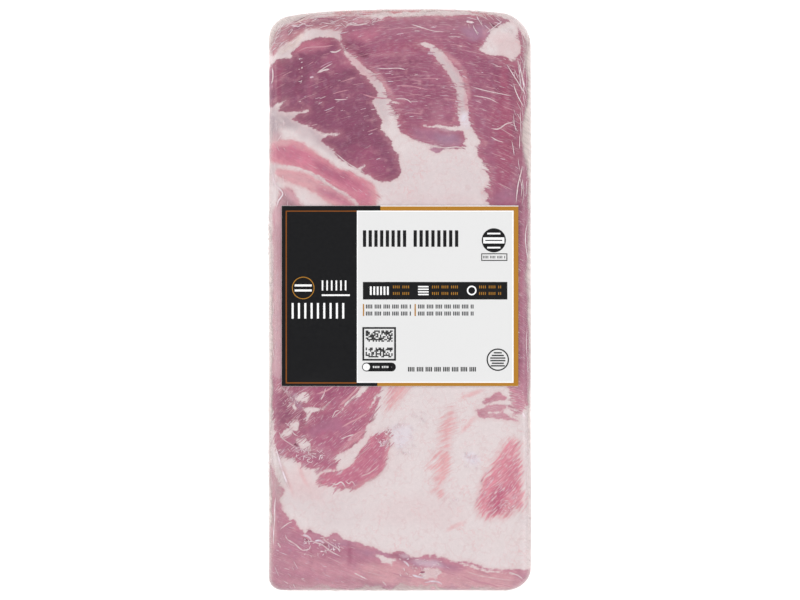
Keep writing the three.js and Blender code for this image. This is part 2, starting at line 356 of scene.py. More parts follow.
LINES = [Line(*row) for row in (
    # shoulder muscle
    ("pale_lean", 0.7, ((-103, 247), (-92.5, 251.5), (-76.5, 252.5), (-65, 254))),
    ("fat", 0.5, ((-83, 226), (-76, 231), (-67, 236))),
    ("silver_skin", 0.6, ((-80, 231.5), (-74, 235), (-67, 238))),
    ("fat", 0.9, ((-82, 226.5), (-76, 229), (-70, 230))),
    ("fat", 0.7, ((-70, 247.5), (-64, 247.2), (-58, 250))),
    ("cool_fat", 0.8, ((-90, 221.5), (-86, 222.5))),
    ("pale_lean", 0.4, ((-68, 205), (-60, 207.5), (-50, 209.5))),
    ("fat", 0.45, ((-66, 200), (-60, 199.5), (-51, 200.5))),
    ("pale_lean", 0.4, ((-60, 217), (-52, 219.5), (-44, 222))),
    # middle muscle
    ("deep_lean", 1.6, ((-20, 237.5), (-8, 237), (8, 237.5), (24, 238))),
    ("fat", 0.5, ((-24, 231), (-14, 230.5), (-2, 231), (8, 229))),
    ("fat", 0.5, ((10, 275), (22, 271.5), (34, 268), (50, 267))),
    ("deep_lean", 1.3, ((72, 282), (80, 280), (88, 276.5), (97, 271.5))),
    # painted shade: a dark line where a hollow lies
    ("hole", 0.7, ((85, 277), (91, 274.5), (98, 271))),
    ("pale_lean", 0.6, ((-40, 206), (-26, 202), (-10, 201))),
    ("pale_lean", 0.45, ((-4, 214), (12, 213), (30, 209))),
    ("fat", 0.5, ((17, 158), (32, 153.6), (45, 151.7), (56, 152.6), (64, 151))),
    ("fat", 0.5, ((-5, 201), (6, 200), (12, 196))),
    # strip
    ("fat", 0.45, ((70, 213), (84, 209), (98, 206), (113, 203))),
    ("fat", 0.45, ((72, 204), (88, 201), (98, 196))),
    ("fat", 0.6, ((90, 171), (98, 170.5), (106, 175.5), (115, 178))),
    ("fat", 0.45, ((90, 163), (97, 159), (104, 157))),
    # pink muscles
    ("fat", 0.45, ((-66, 148), (-58, 141), (-50, 135), (-41, 130), (-34, 126))),
    ("cream_fat", 0.9, ((-89, 127), (-77, 119.5), (-63, 110), (-49.5, 102.5))),
    # gathered film and lean in the shoulder's left corner
    ("deep_lean", 1.2, ((-110, 268.5), (-103, 271), (-95, 273), (-88, 277.5))),
    ("deep_lean", 1.3, ((-89, 279), (-80, 280), (-70, 279.5), (-63, 278))),
    ("purple_lean", 1.5, ((-50, 279), (-42, 277), (-34, 278), (-28, 276))),
    ("rosy_fat", 0.9, ((-92, 281), (-84, 283.5), (-72, 284.5), (-58, 285.5))),
    ("side_fat", 0.8, ((-106, 275), (-100, 278), (-92, 282), (-84, 285), (-60, 287))),
    # painted shade: a dark line where a hollow lies under the gathered film
    ("hole", 0.5, ((-106, 276.5), (-100, 279.5), (-92, 283.2), (-84, 286))),
    ("fat", 0.7, ((-55, 271), (-51, 274.5), (-44, 274), (-36, 275), (-30, 277))),
    # flank muscle and crescent
    ("rose_lean", 1.0, ((-62, -106), (-55, -101), (-46, -92), (-38, -84))),
    ("rose_lean", 0.9, ((-60, -128), (-50, -122), (-40, -117), (-32, -112))),
    ("rose_lean", 0.9, ((-54, -141), (-45, -134), (-38, -130))),
    ("rose_lean", 0.8, ((-84, -94), (-72, -90), (-62, -82))),
    ("rosy_fat", 0.7, ((-40, -176), (-30, -172), (-20, -164))),
    ("rosy_fat", 0.6, ((-34, -182), (-24, -177), (-16, -169))),
    ("fat", 0.5, ((-68, -118), (-66, -114), (-64, -111), (-60, -110))),
    ("fat", 0.6, ((-59, -139), (-53, -136), (-46, -134))),
    ("fat", 0.5, ((-79, -100), (-76, -94), (-74, -88))),
    ("fat", 0.45, ((-116, -122), (-111, -125), (-106, -133), (-101, -136))),
    ("fat", 0.5, ((-121, -131), (-117, -138), (-110, -143), (-104, -147))),
    # painted shade: a dark line where a hollow lies
    ("hole", 1.0, ((-106, -143), (-103.5, -144.5), (-102, -146))),
    ("fat", 0.6, ((-69, -182), (-64, -184), (-59, -181.5), (-56, -184), (-54, -188))),
    ("fat", 0.5, ((-55, -180), (-51, -183), (-48, -181), (-44, -186))),
    # flank band
    ("fat", 0.6, ((-114.5, -233), (-113, -238), (-108.5, -241), (-104, -244), (-98, -249),
                  (-93, -249), (-89, -247))),
    ("fat", 0.7, ((-92, -238), (-86, -241.5), (-78, -244), (-70, -250), (-58, -256.5))),
    ("fat", 0.6, ((-78, -238), (-68, -244.5), (-58, -250))),
    ("fat", 0.5, ((-120, -229), (-112, -223), (-107, -221))),
    ("cool_fat", 1.0, ((-86, -241), (-80, -240), (-74, -244))),
    ("cool_fat", 1.2, ((-97, -234), (-92, -236), (-88, -240))),
    # painted shade: dark lines where hollows lie
    ("hole", 1.6, ((-77, -243), (-74, -244.5), (-73, -243))),
    ("hole", 0.9, ((-97, -237), (-92, -240), (-88, -241.5))),
    ("deep_lean", 0.9, ((20, -272), (23, -271.5), (25, -271))),
    ("pale_lean", 0.8, ((-60, -262), (-52, -266), (-44, -270))),
    ("fat", 0.6, ((-46, -272), (-40, -275), (-32, -279))),
    ("rosy_fat", 0.6, ((64, -270), (80, -275), (98, -278), (116, -280))),
    ("pale_lean", 0.9, ((60, -274), (74, -280), (92, -284), (100, -287))),
    ("fat", 0.5, ((108, -271), (118, -275), (124, -280))),
    ("cool_fat", 0.9, ((3, -260), (7, -263), (9, -266))),
    ("cool_fat", 1.0, ((12, -274), (18, -276), (24, -277))),
    ("cool_fat", 0.8, ((24, -282), (32, -280.5), (40, -282), (44, -287))),
    ("fat", 0.7, ((-122, -242), (-119, -247))),
    ("fat", 0.6, ((-18, -280), (-14, -284), (-11, -287))),
)]


# how likely a sinew is, by the colour of the lean
SINEWS = {"middle_lean": 0.28, "band_lean": 0.35, "pink_lean": 0.1}
FEW_SINEWS = 0.08


class CreaseZone(NamedTuple):
    """A part of the plan with many creases: its ranges, their usual turn and its spread in
    degrees, longest length, widest half width and how many."""

    across: tuple
    up: tuple
    turn: float
    spread: float
    long: float
    half: float
    count: int


CREASE_ZONES = [CreaseZone(*row) for row in (
    ((119, 130), (90, 262), 93, 5, 36, 0.28, 34),
    ((112, 124), (120, 262), 104, 12, 22, 0.25, 14),
    ((126, 130.5), (-250, 90), 90, 4, 44, 0.3, 16),
    ((-131, -127), (-200, 110), 90, 4, 44, 0.35, 30),
    ((-131, -126), (-270, -160), 90, 5, 30, 0.3, 16),
    ((-126, -112), (90, 180), 96, 24, 9, 0.25, 16),
    ((-127, -104), (244, 276), 46, 16, 14, 0.3, 26),
    ((-106, -48), (270, 283), 10, 18, 14, 0.3, 30),
    ((-50, -18), (274, 285), 10, 20, 10, 0.3, 16),
    ((-100, 100), (284, 290), 0, 3, 44, 0.3, 24),
    ((66, 122), (264, 286), -46, 14, 14, 0.3, 22),
    ((-110, 112), (-291, -287), 0, 4, 40, 0.25, 14),
    ((-128, -100), (-288, -262), -40, 16, 12, 0.25, 8),
    ((-112, -74), (-162, -146), 20, 60, 6, 0.35, 44),
    ((-118, -100), (-104, -92), 60, 40, 4, 0.3, 16),
    ((-24, -8), (-146, -128), 20, 60, 4, 0.4, 34),
    ((-6, 14), (-154, -122), 70, 50, 3.4, 0.45, 40),
    ((10, 26), (-122, -112), 30, 50, 3, 0.4, 16),
    ((63, 78), (-168, -152), 70, 50, 3.2, 0.42, 26),
    ((40, 60), (-210, -198), 40, 50, 3, 0.4, 14),
    ((-100.5, -97.5), (194, 244), 8, 12, 3.6, 0.42, 12),
    ((-95, -60), (-256, -236), -20, 50, 4.5, 0.4, 44),
    ((0, 50), (-276, -258), -20, 40, 4.5, 0.4, 40),
    ((100, 118), (-212, -196), 40, 40, 4, 0.4, 18),
)]

CREASES = (
    (((105.5, 236), (110, 229), (115, 221), (120, 213), (124, 206), (126.5, 195)), 0.45),
    (((117, 240), (120, 230), (122, 221), (126, 207)), 0.5),
    (((113, 216), (115, 209), (118, 202), (124, 191)), 0.45),
    (((-124, -146), (-121.5, -156), (-118, -168), (-114, -179), (-110, -188)), 0.9),
    (((122, 134), (120, 124), (117.5, 114), (115.5, 95.5)), 0.55),
    (((127, 78), (125, 60), (129, 30)), 0.4),
    (((-127.5, 232), (-126.5, 226), (-127, 219), (-128.5, 215)), 0.8),
    (((-128, 129), (-124.5, 116), (-117, 106.5), (-121, 99), (-123, 92)), 0.7),
    (((126, -118), (127.5, -126), (127.5, -143), (126.5, -158)), 0.8),
    (((129, -164), (125, -170), (120, -178)), 0.6),
    (((66, 278), (69, 277), (74, 276.5)), 1.1),
    (((86, 266), (94, 272), (102, 278)), 0.4),
    (((122, -112), (124, -116), (125, -118)), 0.9),
    (((-124, -196), (-125, -206), (-125, -216), (-126, -232), (-126.5, -246)), 0.6),
)


# where the film is milky, or clearer than elsewhere
HAZES = [Oval(*row) for row in (
    (-131, 214, 36, 12, 90, -1.0),
    (-131, -40, 130, 5.2, 90, 0.6),
    (-131.5, -205, 60, 3.6, 90, 0.55),
    (-129, 262, 20, 6, 76, 0.4),
    (-112, 279, 22, 7, 28, 0.4),
    (130.5, 180, 110, 5, 90, 0.6),
    (126, 166, 34, 4, 90, 0.65),
    (127.5, 240, 26, 5, 96, 0.35),
    (131.5, 0, 110, 3.6, 90, 0.4),
    (128.5, 30, 56, 4, 90, 0.35),
    (130.5, -118, 40, 4, 90, 0.45),
    (-122, 20, 90, 5, 90, 0.12),
    (0, -289, 120, 4, 0, 0.4),
    (0, 285.5, 60, 3, 0, 0.3),
    (-122, -185, 26, 6, 90, 0.25),
)]


LEAN_STAINS = [Stain(*row) for row in (
    # the shoulder muscle: redder at the slab's edge, with painted shade in dark furrows where the film
    # pulls
    (-84, 256, 26, 6, 14, "strip_lean", 0.7),
    (-46, 240, 20, 4, -45, "rose_lean", 0.6),
    (-17, 216, 22, 4, -58, "rose_lean", 0.6),
    (52, 240, 17, 4, -46, "rose_lean", 0.5),
    (65, 214, 17, 4, -76, "rose_lean", 0.5),
    (-62, 240, 30, 14, 40, "flank_lean", 0.6),
    (-124, 222, 26, 9, 90, "strip_lean", 0.6),
    # painted shade where the left rim turns away
    (-130, 216, 44, 6, 90, "deep_lean", 0.8),
    (-88, 254, 22, 8, 12, "pink_lean", 0.45),
    # painted shade in the furrows
    (-101, 218, 28, 5, 86, "deep_lean", 0.8),
    (-76, 208, 28, 5, 90, "deep_lean", 0.9),
    (-88, 214, 26, 4, 88, "flank_lean", 0.3),
    (-56, 176, 34, 9, -52, "deep_lean", 0.35),
    (-30, 160, 26, 5, 90, "deep_lean", 0.2),
    (-30, 134, 30, 20, -50, "tongue_lean", 0.8),
    (-46, 210, 22, 16, 40, "middle_lean", 0.3),
    # the shoulder band and the middle muscle
    (40, 268, 90, 10, 0, "band_lean", 0.35),
    (-34, 267, 24, 8, 6, "pink_lean", 0.4),
    # painted shade: dark hollows
    (-36, 245, 7, 2.6, -12, "hole", 0.9),
    (-48, 253, 14, 2, -40, "hole", 0.5),
    (-40, 254, 18, 9, -24, "deep_lean", 0.6),
    (-8, 245, 28, 2.4, 3, "rose_lean", 0.35),
    (0, 232.5, 28, 2.2, -2, "rose_lean", 0.35),
    (4, 250, 40, 7, 0, "strip_lean", 0.5),
    (0, 226, 34, 16, -10, "deep_lean", 0.45),
    (30, 204, 24, 18, -60, "deep_lean", 0.35),
    (46, 162, 19, 9, -6, "silver_skin", 0.95),
    (26, 168, 22, 9, -20, "silver_skin", 0.4),
    (48, 171, 14, 3, -6, "cool_fat", 0.3),
    (76, 266, 20, 9, -12, "silver_skin", 0.75),
    (8, 172, 16, 12, -40, "strip_lean", 0.4),
    (42, 188, 20, 10, -70, "purple_lean", 0.3),
    # the strip down the right edge
    (108, 180, 90, 20, 88, "strip_lean", 0.9),
    (97, 222, 30, 6, 96, "deep_lean", 0.5),
    (112, 200, 70, 4, 92, "deep_lean", 0.5),
    (82, 232, 22, 12, -40, "deep_lean", 0.35),
    (104, 102, 20, 10, 0, "silver_skin", 0.35),
    (120, 90, 40, 5, 90, "deep_lean", 0.5),
    # the corner under the gathered film
    # painted shade: a dark line along the top of the fat band under the gathered film
    (-84, 275, 40, 3, 16, "deep_lean", 0.7),
    (-48, 283, 24, 3, 4, "deep_lean", 0.7),
    (-118, 262, 20, 5, 50, "purple_lean", 0.5),
    # the pink muscles
    (-118, 156, 16, 5, 8, "rosy_fat", 0.5),
    (-29, 106, 8, 16, 10, "rose_lean", 0.7),
    (-92, 150, 26, 4, -24, "rose_lean", 0.5),
    (-66, 126, 28, 8, -30, "tongue_lean", 0.6),
    (-110, 146, 18, 7, -8, "crescent_lean", 0.6),
    (-48, 112, 12, 8, -40, "crescent_lean", 0.7),
    (-62, 103, 27, 9, -34, "crescent_lean", 1.0),
    (-58, 101, 18, 4, -34, "tongue_lean", 0.5),
    # painted shade: a dark hollow
    (-112, 96, 12, 6, -40, "hole", 0.5),
    # beside the label
    (-123, 52, 36, 8, 90, "flank_lean", 0.85),
    # the flank muscle
    (-108, -110, 20, 30, 0, "deep_lean", 0.75),
    (-88, -118, 30, 20, 30, "deep_lean", 0.3),
    (-70, -94, 44, 12, 20, "tongue_lean", 0.75),
    (-28, -100, 30, 14, 50, "crescent_lean", 0.8),
    (-41, -136, 30, 4, 38, "rose_lean", 0.5),
    (-13, -148, 24, 4, 86, "rose_lean", 0.5),
    (-38, -183, 30, 4, 26, "rose_lean", 0.4),
    (-72, -128, 30, 8, 10, "silver_skin", 0.3),
    (-104, -100, 12, 5, -50, "silver_skin", 0.9),
    (-98, -144, 12, 7, -30, "silver_skin", 0.7),
    (-84, -153, 30, 8, -16, "purple_lean", 0.5),
    # painted shade: a dark hollow
    (-90, -150, 14, 2, -30, "hole", 0.4),
    # the slivers in the flank's right edge
    (80, -113, 7, 5, 0, "flank_lean", 0.6),
    (88, -98, 9, 4, 20, "flank_lean", 0.5),
    # the patch low on the right
    (102, -196, 24, 10, 56, "core_lean", 0.95),
    (112, -170, 22, 8, 60, "core_lean", 0.4),
    # the band along the flank end
    (-70, -246, 34, 8, -14, "flank_lean", 0.35),
    (-80, -284, 60, 7, -2, "rose_lean", 0.35),
    (-66, -240, 26, 6, -14, "silver_skin", 0.6),
    (-24, -254, 26, 5, -8, "silver_skin", 0.5),
    (30, -264, 34, 7, -6, "silver_skin", 0.5),
    (-106, -226, 16, 6, -40, "flank_lean", 0.4),
    (-89, -230, 6, 4, 0, "deep_lean", 0.7),
    (-68, -238, 14, 5, -10, "purple_lean", 0.8),
    (-90, -258, 15, 3.4, 90, "tongue_lean", 0.55),
    (-51.5, -254, 17, 3.4, 90, "tongue_lean", 0.55),
    (4, -257, 16, 6, -10, "deep_lean", 0.55),
    (28, -263, 18, 6, -8, "cool_fat", 0.4),
    (6, -256, 6, 3, 0, "cool_fat", 0.4),
    (-80, -266, 44, 14, -8, "rose_lean", 0.4),
    (-10, -275, 48, 13, -6, "rose_lean", 0.95),
    (70, -280, 80, 12, -4, "rose_lean", 0.9),
    (-128, -225, 60, 5, 90, "rose_lean", 0.7),
)]

FAT_STAINS = [Stain(*row) for row in (
    (68, -124, 15, 3, 45, "faint_lean", 0.45),
    (72, -93, 15, 3, 24, "faint_lean", 0.6),
    (56, -225, 14, 3, 26, "faint_lean", 0.45),
    (-112, -178, 24, 3, -66, "faint_lean", 0.35),
    (-96, -176, 16, 2.4, -62, "faint_lean", 0.4),
    (98, 262, 14, 8, 30, "faint_lean", 0.2),
    (-18, 188, 22, 8, -72, "shade_fat", 0.65),
    (-108, 256, 20, 5, 40, "side_fat", 0.7),
    (30, 110, 90, 50, 0, "shade_fat", 0.25),
    (-30, 218, 46, 12, -55, "shade_fat", 0.85),
    (-44, 234, 30, 9, -48, "pink_lean", 0.4),
    (54, 214, 56, 16, -66, "shade_fat", 0.95),
    (58, 229, 26, 5, -54, "pink_lean", 0.55),
    (67, 196, 22, 3.4, -80, "pink_lean", 0.5),
    (-112, 182, 22, 13, -10, "shade_fat", 0.95),
    (-127, 152, 50, 8, 90, "shade_fat", 0.8),
    # painted shade where the left rim turns away
    (-130, 178, 36, 9, 90, "rim_fat", 0.8),
    (-126, 150, 18, 10, 90, "rose_lean", 0.5),
    # painted shade where the right rim turns away
    (128, -180, 110, 9, 90, "rim_fat", 0.2),
    (-64, 268, 30, 7, 0, "shade_fat", 0.7),
    (-112, 250, 20, 8, 30, "shade_fat", 0.3),
    (-90, 162, 22, 8, -40, "shade_fat", 0.8),
    # painted shade: a lilac shadow along the lean's lower left edge
    (-74, 154, 26, 4, -42, "silver_skin", 0.35),
    (64, 182, 7, 9, 0, "cool_fat", 0.9),
    (-66, 100, 50, 14, -30, "rosy_fat", 0.6),
    (-112, 122, 18, 14, 0, "faint_lean", 0.3),
    (-40, -160, 60, 40, 30, "rosy_fat", 0.2),
    (-80, -204, 60, 22, -20, "shade_fat", 0.2),
    (4, -136, 14, 16, 0, "cool_fat", 0.6),
    (70, -159, 8, 7, 0, "cool_fat", 0.7),
    (-18, -136, 7, 6, 0, "cool_fat", 0.7),
    (100, -238, 40, 14, 0, "cream_fat", 0.4),
    (20, -212, 60, 20, 0, "rosy_fat", 0.25),
    (-92, -185, 28, 16, -50, "faint_lean", 0.2),
    (108, 250, 16, 18, 0, "rosy_fat", 0.6),
    (83, 108, 4, 6, 0, "shade_fat", 0.7),
    (110, -280, 30, 8, 0, "rosy_fat", 0.4),
    (31, -272, 12, 9, 0, "rose_lean", 0.45),
    # painted shade in the fat beside the pink muscle and along the lean's lower left edge
    (-112, 178, 20, 10, -10, "rim_fat", 0.45),
    (-78, 156, 24, 7, -42, "rim_fat", 0.3),
    (40, 96, 60, 14, 0, "rosy_fat", 0.25),
    (128, 190, 90, 4, 90, "side_fat", 0.6),
)]


# ---- arithmetic on whole arrays ----


def smooth(value, low, high):
    """0 below low, 1 above high, and an S-shaped rise in between."""
    share = np.clip((value - low) / (high - low), 0, 1)
    return share * share * (3 - 2 * share)


def fade(value, low, high):
    """1 below low, 0 above high, and an S-shaped fall in between."""
    return 1 - smooth(value, low, high)


def mixed(low, high, share):
    """A weighted mean: low where the share is 0, and high where it is 1."""
    return low * (1 - share) + high * share


def noise(x, y, seed):
    """Smooth noise from -1 to 1: random heights at whole numbers, joined by S-shaped rises."""
    side = 128
    heights = np.random.default_rng(seed).uniform(-1, 1, (side, side))
    column = np.floor(x).astype(int)
    row = np.floor(y).astype(int)
    across = smooth(x - column, 0, 1)
    left, right = column % side, (column + 1) % side
    low, high = (mixed(heights[left, r % side], heights[right, r % side], across) for r in (row, row + 1))
    return mixed(low, high, smooth(y - row, 0, 1))


def rough(x, y, seed, octaves=3):
    """Noise at several scales, each twice as fine and half as high as the one before."""
    return sum(noise(x * 2**k, y * 2**k, seed + k) / 2**k for k in range(octaves))


def reach_in(x, y, oval):
    """How far out in a turned oval the points lie: 0 in its middle and 1 on its outline."""
    angle = math.radians(oval.turn)
    along = (x - oval.x) * math.cos(angle) + (y - oval.y) * math.sin(angle)
    across = (y - oval.y) * math.cos(angle) - (x - oval.x) * math.sin(angle)
    return np.hypot(along / oval.long, across / oval.wide)


def with_ovals(value, x, y, ovals, full, gone):
    """Adds soft ovals to a value: each has its whole strength out to one reach, and nothing
    from another reach on."""
    for oval in ovals:
        value = value + oval.strength * fade(reach_in(x, y, oval), full, gone)
    return value


def catmull_rom(a, b, c, d, t):
    """The place a share t of the way from b to c on the smooth curve through four places."""
    return (2 * b + (c - a) * t + (2 * a - 5 * b + 4 * c - d) * t**2 + (3 * b - a - 3 * c + d) * t**3) / 2


def closed_curve(points, steps=4):
    """A smooth closed line through the points, by the Catmull-Rom formula."""
    b = np.array(points, float)[:, None]
    a, c, d = (np.roll(b, shift, axis=0) for shift in (1, -1, -2))
    t = (np.arange(steps) / steps)[None, :, None]
    return catmull_rom(a, b, c, d, t).reshape(-1, 2)


def off_line(x, y, start, end):
    """The share of the way along a straight line to its place nearest to each point, and how
    far the point lies from that place in X and in Y."""
    run, rise = end[0] - start[0], end[1] - start[1]
    share = ((x - start[0]) * run + (y - start[1]) * rise) / (run**2 + rise**2 + 1e-9)
    share = np.clip(share, 0, 1)
    return share, x - start[0] - share * run, y - start[1] - share * rise


def inside_distance(x, y, outline):
    """Distance to a closed line, positive inside it and negative outside."""
    nearest = np.full(x.shape, np.inf)
    inside = np.zeros(x.shape, bool)
    for (x0, y0), (x1, y1) in zip(outline, np.roll(outline, -1, axis=0)):
        _, dx, dy = off_line(x, y, (x0, y0), (x1, y1))
        nearest = np.minimum(nearest, dx**2 + dy**2)
        if y1 != y0:
            inside ^= ((y0 <= y) != (y1 <= y)) & (x < x0 + (y - y0) * (x1 - x0) / (y1 - y0))
    return np.where(inside, 1, -1) * np.sqrt(nearest)


def seam_distance(x, y, seam):
    """How far the points are inside a line of changing width: its half width less the distance
    to its middle line."""
    best = np.full(x.shape, -np.inf)
    for start, end in zip(seam.points, seam.points[1:]):
        share, dx, dy = off_line(x, y, start, end)
        best = np.maximum(best, start[2] + (end[2] - start[2]) * share - np.hypot(dx, dy))
    return best


# ---- the form of the slab ----


def thickness(y):
    """Falls evenly from the shoulder end to the flank end."""
    return FLANK_THICKNESS + (SHOULDER_THICKNESS - FLANK_THICKNESS) * (y / LENGTH + 0.5)


def upper_height(x, y):
    """The thickness, plus a slow ripple, plus each muscle's rise."""
    ripple = RIPPLE * np.sin(x / 23 + 0.6) * np.sin(y / 41 + 1.1)
    return with_ovals(thickness(y) + ripple, x, y, MUSCLES, 0.5, 1.25)


def corner_beside(x, y):
    """For each place the signs of x and y, the two edges of the flats' rectangle on that side,
    and the radius of the corner between them."""
    sx = np.where(x > 0, 1.0, -1.0)
    sy = np.where(y > 0, 1.0, -1.0)
    radius = np.zeros(x.shape)
    for (side, end), value in CORNER.items():
        radius[(sx == side) & (sy == end)] = value
    return sx, sy, np.where(x > 0, FLAT_X[1], FLAT_X[0]), np.where(y > 0, FLAT_Y[1], FLAT_Y[0]), radius


def round_corners(x, y):
    """Moves the points of the flats' rectangle so that its corners become round: each corner's
    square maps onto a quarter disc. Returns places and outward directions."""
    sx, sy, edge_x, edge_y, radius = corner_beside(x, y)
    cx, cy = edge_x - sx * radius, edge_y - sy * radius
    a = (x - cx) * sx / radius
    b = (y - cy) * sy / radius
    corner = (a > 0) & (b > 0)
    low, high = np.minimum(a, b), np.maximum(a, b)
    share = np.where(corner, low / np.where(corner, high, 1), 0)
    angle = np.where(a >= b, math.pi / 4 * share, math.pi / 2 - math.pi / 4 * share)
    nx = np.where(corner, sx * np.cos(angle), np.where(a > b, sx, 0))
    ny = np.where(corner, sy * np.sin(angle), np.where(a > b, 0, sy))
    px = np.where(corner, cx + nx * radius * high, x)
    py = np.where(corner, cy + ny * radius * high, y)
    return px, py, nx, ny


def side_hollow(x, y, height):
    """Grooves between the layers along the cut sides, and a slow wobble, both inwards."""
    around = x / 37 + y / 53
    groove = 0.5 - 0.5 * np.cos(2 * math.pi * SIDE_LAYERS * height + np.sin(around))
    wobble = 0.5 - 0.5 * np.cos(around * 1.7 + 2.7)
    return SIDE_LAYER_DEPTH * groove + SIDE_WOBBLE * wobble


def bow(x, y):
    """How far the shoulder end falls back towards -Y: more the nearer to that end and the
    further out a place is."""
    share = np.maximum(0, y / (LENGTH / 2)) ** BOW_GROWTH
    return SHOULDER_BOW * share * (np.abs(x - BOW_MIDDLE) / (WIDTH / 2)) ** BOW_POWER


def rim_offset(x, y):
    """How far places of the plan lie outside the flats' round-cornered rectangle (negative
    inside it), and the outward direction there."""
    y = y + bow(x, y)
    sx, sy, edge_x, edge_y, radius = corner_beside(x, y)
    a = (x - edge_x) * sx + radius
    b = (y - edge_y) * sy + radius
    corner = (a > 0) & (b > 0)
    far = np.hypot(a, b)
    offset = np.where(corner, far, np.maximum(a, b)) - radius
    nx = sx * np.where(corner, a / np.maximum(far, 1e-6), a > b)
    ny = sy * np.where(corner, b / np.maximum(far, 1e-6), a <= b)
    return offset, nx, ny


def roll_width(nx, ny):
    """How wide the slab's rim is rounded where it faces (nx, ny)."""
    roll = nx**2 * np.where(nx > 0, ROLL["right"], ROLL["left"])
    return roll + ny**2 * np.where(ny > 0, ROLL["shoulder"], ROLL["flank"])


def kept_on(x, y):
    """Slides places that lie past the slab's rim back onto it."""
    offset, nx, ny = rim_offset(x, y)
    past = np.maximum(offset - roll_width(nx, ny) + RIM_MARGIN, 0)
    return x - nx * past, y - ny * past


def surface_height(x, y):
    """Height of the slab's upper side over a place of the plan, round its rims as well."""
    offset, nx, ny = rim_offset(x, y)
    out = np.clip(offset / (roll_width(nx, ny) - SIDE_LOSS), 0, 1)
    rise = (1 - out**UPPER_SQUARENESS) ** (1 / UPPER_SQUARENESS)
    waist = WAIST * thickness(y)
    return waist + (upper_height(x, y) - waist) * rise


class Skin(NamedTuple):
    """The slab's closed surface as a mesh: places, outward directions, ring numbers (0 on the
    upper flat, 1 on the widest line, 2 on the lower flat's rim, 3 in its middle) and faces."""

    place: np.ndarray
    out: np.ndarray
    ring: np.ndarray
    faces: list


def slab_skin(step):
    """The upper flat is a grid. From its rim, rings of points follow a superellipse down to the
    widest line and on to the lower flat, which shrinks ring by ring to one point."""
    columns = round((FLAT_X[1] - FLAT_X[0]) / step) + 1
    rows = round((FLAT_Y[1] - FLAT_Y[0]) / step) + 1
    grid_x, grid_y = np.meshgrid(np.linspace(*FLAT_X, columns), np.linspace(*FLAT_Y, rows))
    x, y, nx, ny = round_corners(grid_x.ravel(), grid_y.ravel())
    number = np.arange(rows * columns).reshape(rows, columns)
    rim = grid_rim(number)
    flat = np.stack([x, y - bow(x, y), upper_height(x, y)], axis=1)
    places, outs, rings = [flat], [np.tile([0.0, 0.0, 1.0], (len(x), 1))], [np.zeros(len(x))]
    rx, ry, rnx, rny = x[rim], y[rim], nx[rim], ny[rim]
    top, waist, roll = upper_height(rx, ry), WAIST * thickness(ry), roll_width(rnx, rny)
    steps = [k / UPPER_RINGS for k in range(1, UPPER_RINGS + 1)]
    steps += [1 + k / LOWER_RINGS for k in range(1, LOWER_RINGS + 1)]
    for ring in steps:
        upper = ring <= 1
        angle = (ring if upper else 2 - ring) * math.pi / 2
        power = 2 / (UPPER_SQUARENESS if upper else LOWER_SQUARENESS)
        reach_out, rise = math.sin(angle) ** power, max(math.cos(angle), 0) ** power
        z = waist + (top - waist) * rise if upper else waist * (1 - rise)
        # the fourth power keeps the hollows away from both flats
        reach = roll * reach_out - side_hollow(rx, ry, z / top) * reach_out**4
        px, py = rx + rnx * reach, ry + rny * reach
        places.append(np.stack([px, py - bow(px, py), z], axis=1))
        sideways, upwards = math.sin(angle), math.cos(angle) * (1 if upper else -1)
        outs.append(np.stack([rnx * sideways, rny * sideways, np.full(len(rx), upwards)], axis=1))
        rings.append(np.full(len(rx), ring))
    lower_rim = places[-1]
    for k in range(1, UNDER_RINGS):
        share = 1 - k / UNDER_RINGS
        places.append(lower_rim * [share, share, 1])
        outs.append(np.tile([0.0, 0.0, -1.0], (len(rx), 1)))
        rings.append(np.full(len(rx), 3 - share))
    places.append(np.zeros((1, 3)))
    outs.append(np.array([[0.0, 0.0, -1.0]]))
    rings.append(np.array([3.0]))
    faces = skin_faces(number, rim, len(steps) + UNDER_RINGS - 1)
    return Skin(np.concatenate(places), np.concatenate(outs), np.concatenate(rings), faces)


def skin_faces(number, rim, belts):
    """The faces of a skin: its grid, a belt of quads down to each next ring of points, and a
    fan of triangles round the last point."""
    quads = [grid_faces(number)]
    above, first = rim, number.size
    for _ in range(belts):
        loop = first + np.arange(len(rim))
        quads.append(np.stack([loop, np.roll(loop, -1), np.roll(above, -1), above], axis=1))
        above, first = loop, first + len(rim)
    cap = np.stack([np.full(len(rim), first), np.roll(above, -1), above], axis=1)
    return [np.concatenate(quads), cap]


def grid_rim(number):
    """The numbers round the rim of a grid, anticlockwise, each once."""
    return np.concatenate([number[0, :-1], number[:-1, -1], number[-1, :0:-1], number[:0:-1, 0]])


def grid_faces(number):
    """Quads between the numbered points of a grid, anticlockwise."""
    corners = [number[:-1, :-1], number[:-1, 1:], number[1:, 1:], number[1:, :-1]]
    return np.stack([c.ravel() for c in corners], axis=1)


# ---- meshes ----


def bridged(skin, full, gone):
    """How much of the sides' hollows is made good, from the upper rim to below the widest
    line: whole down to one ring number and nothing from another on."""
    x, y, z = skin.place.T
    hollow = side_hollow(x, y, z / upper_height(x, y)) * smooth(skin.ring, 0.3, 0.9)
    return BRIDGED_SHARE * hollow * fade(skin.ring, full, gone)


def new_object(name, data):
    """An object of some data, put into the scene."""
    made = bpy.data.objects.new(name, data)
    bpy.context.scene.collection.objects.link(made)
    return made


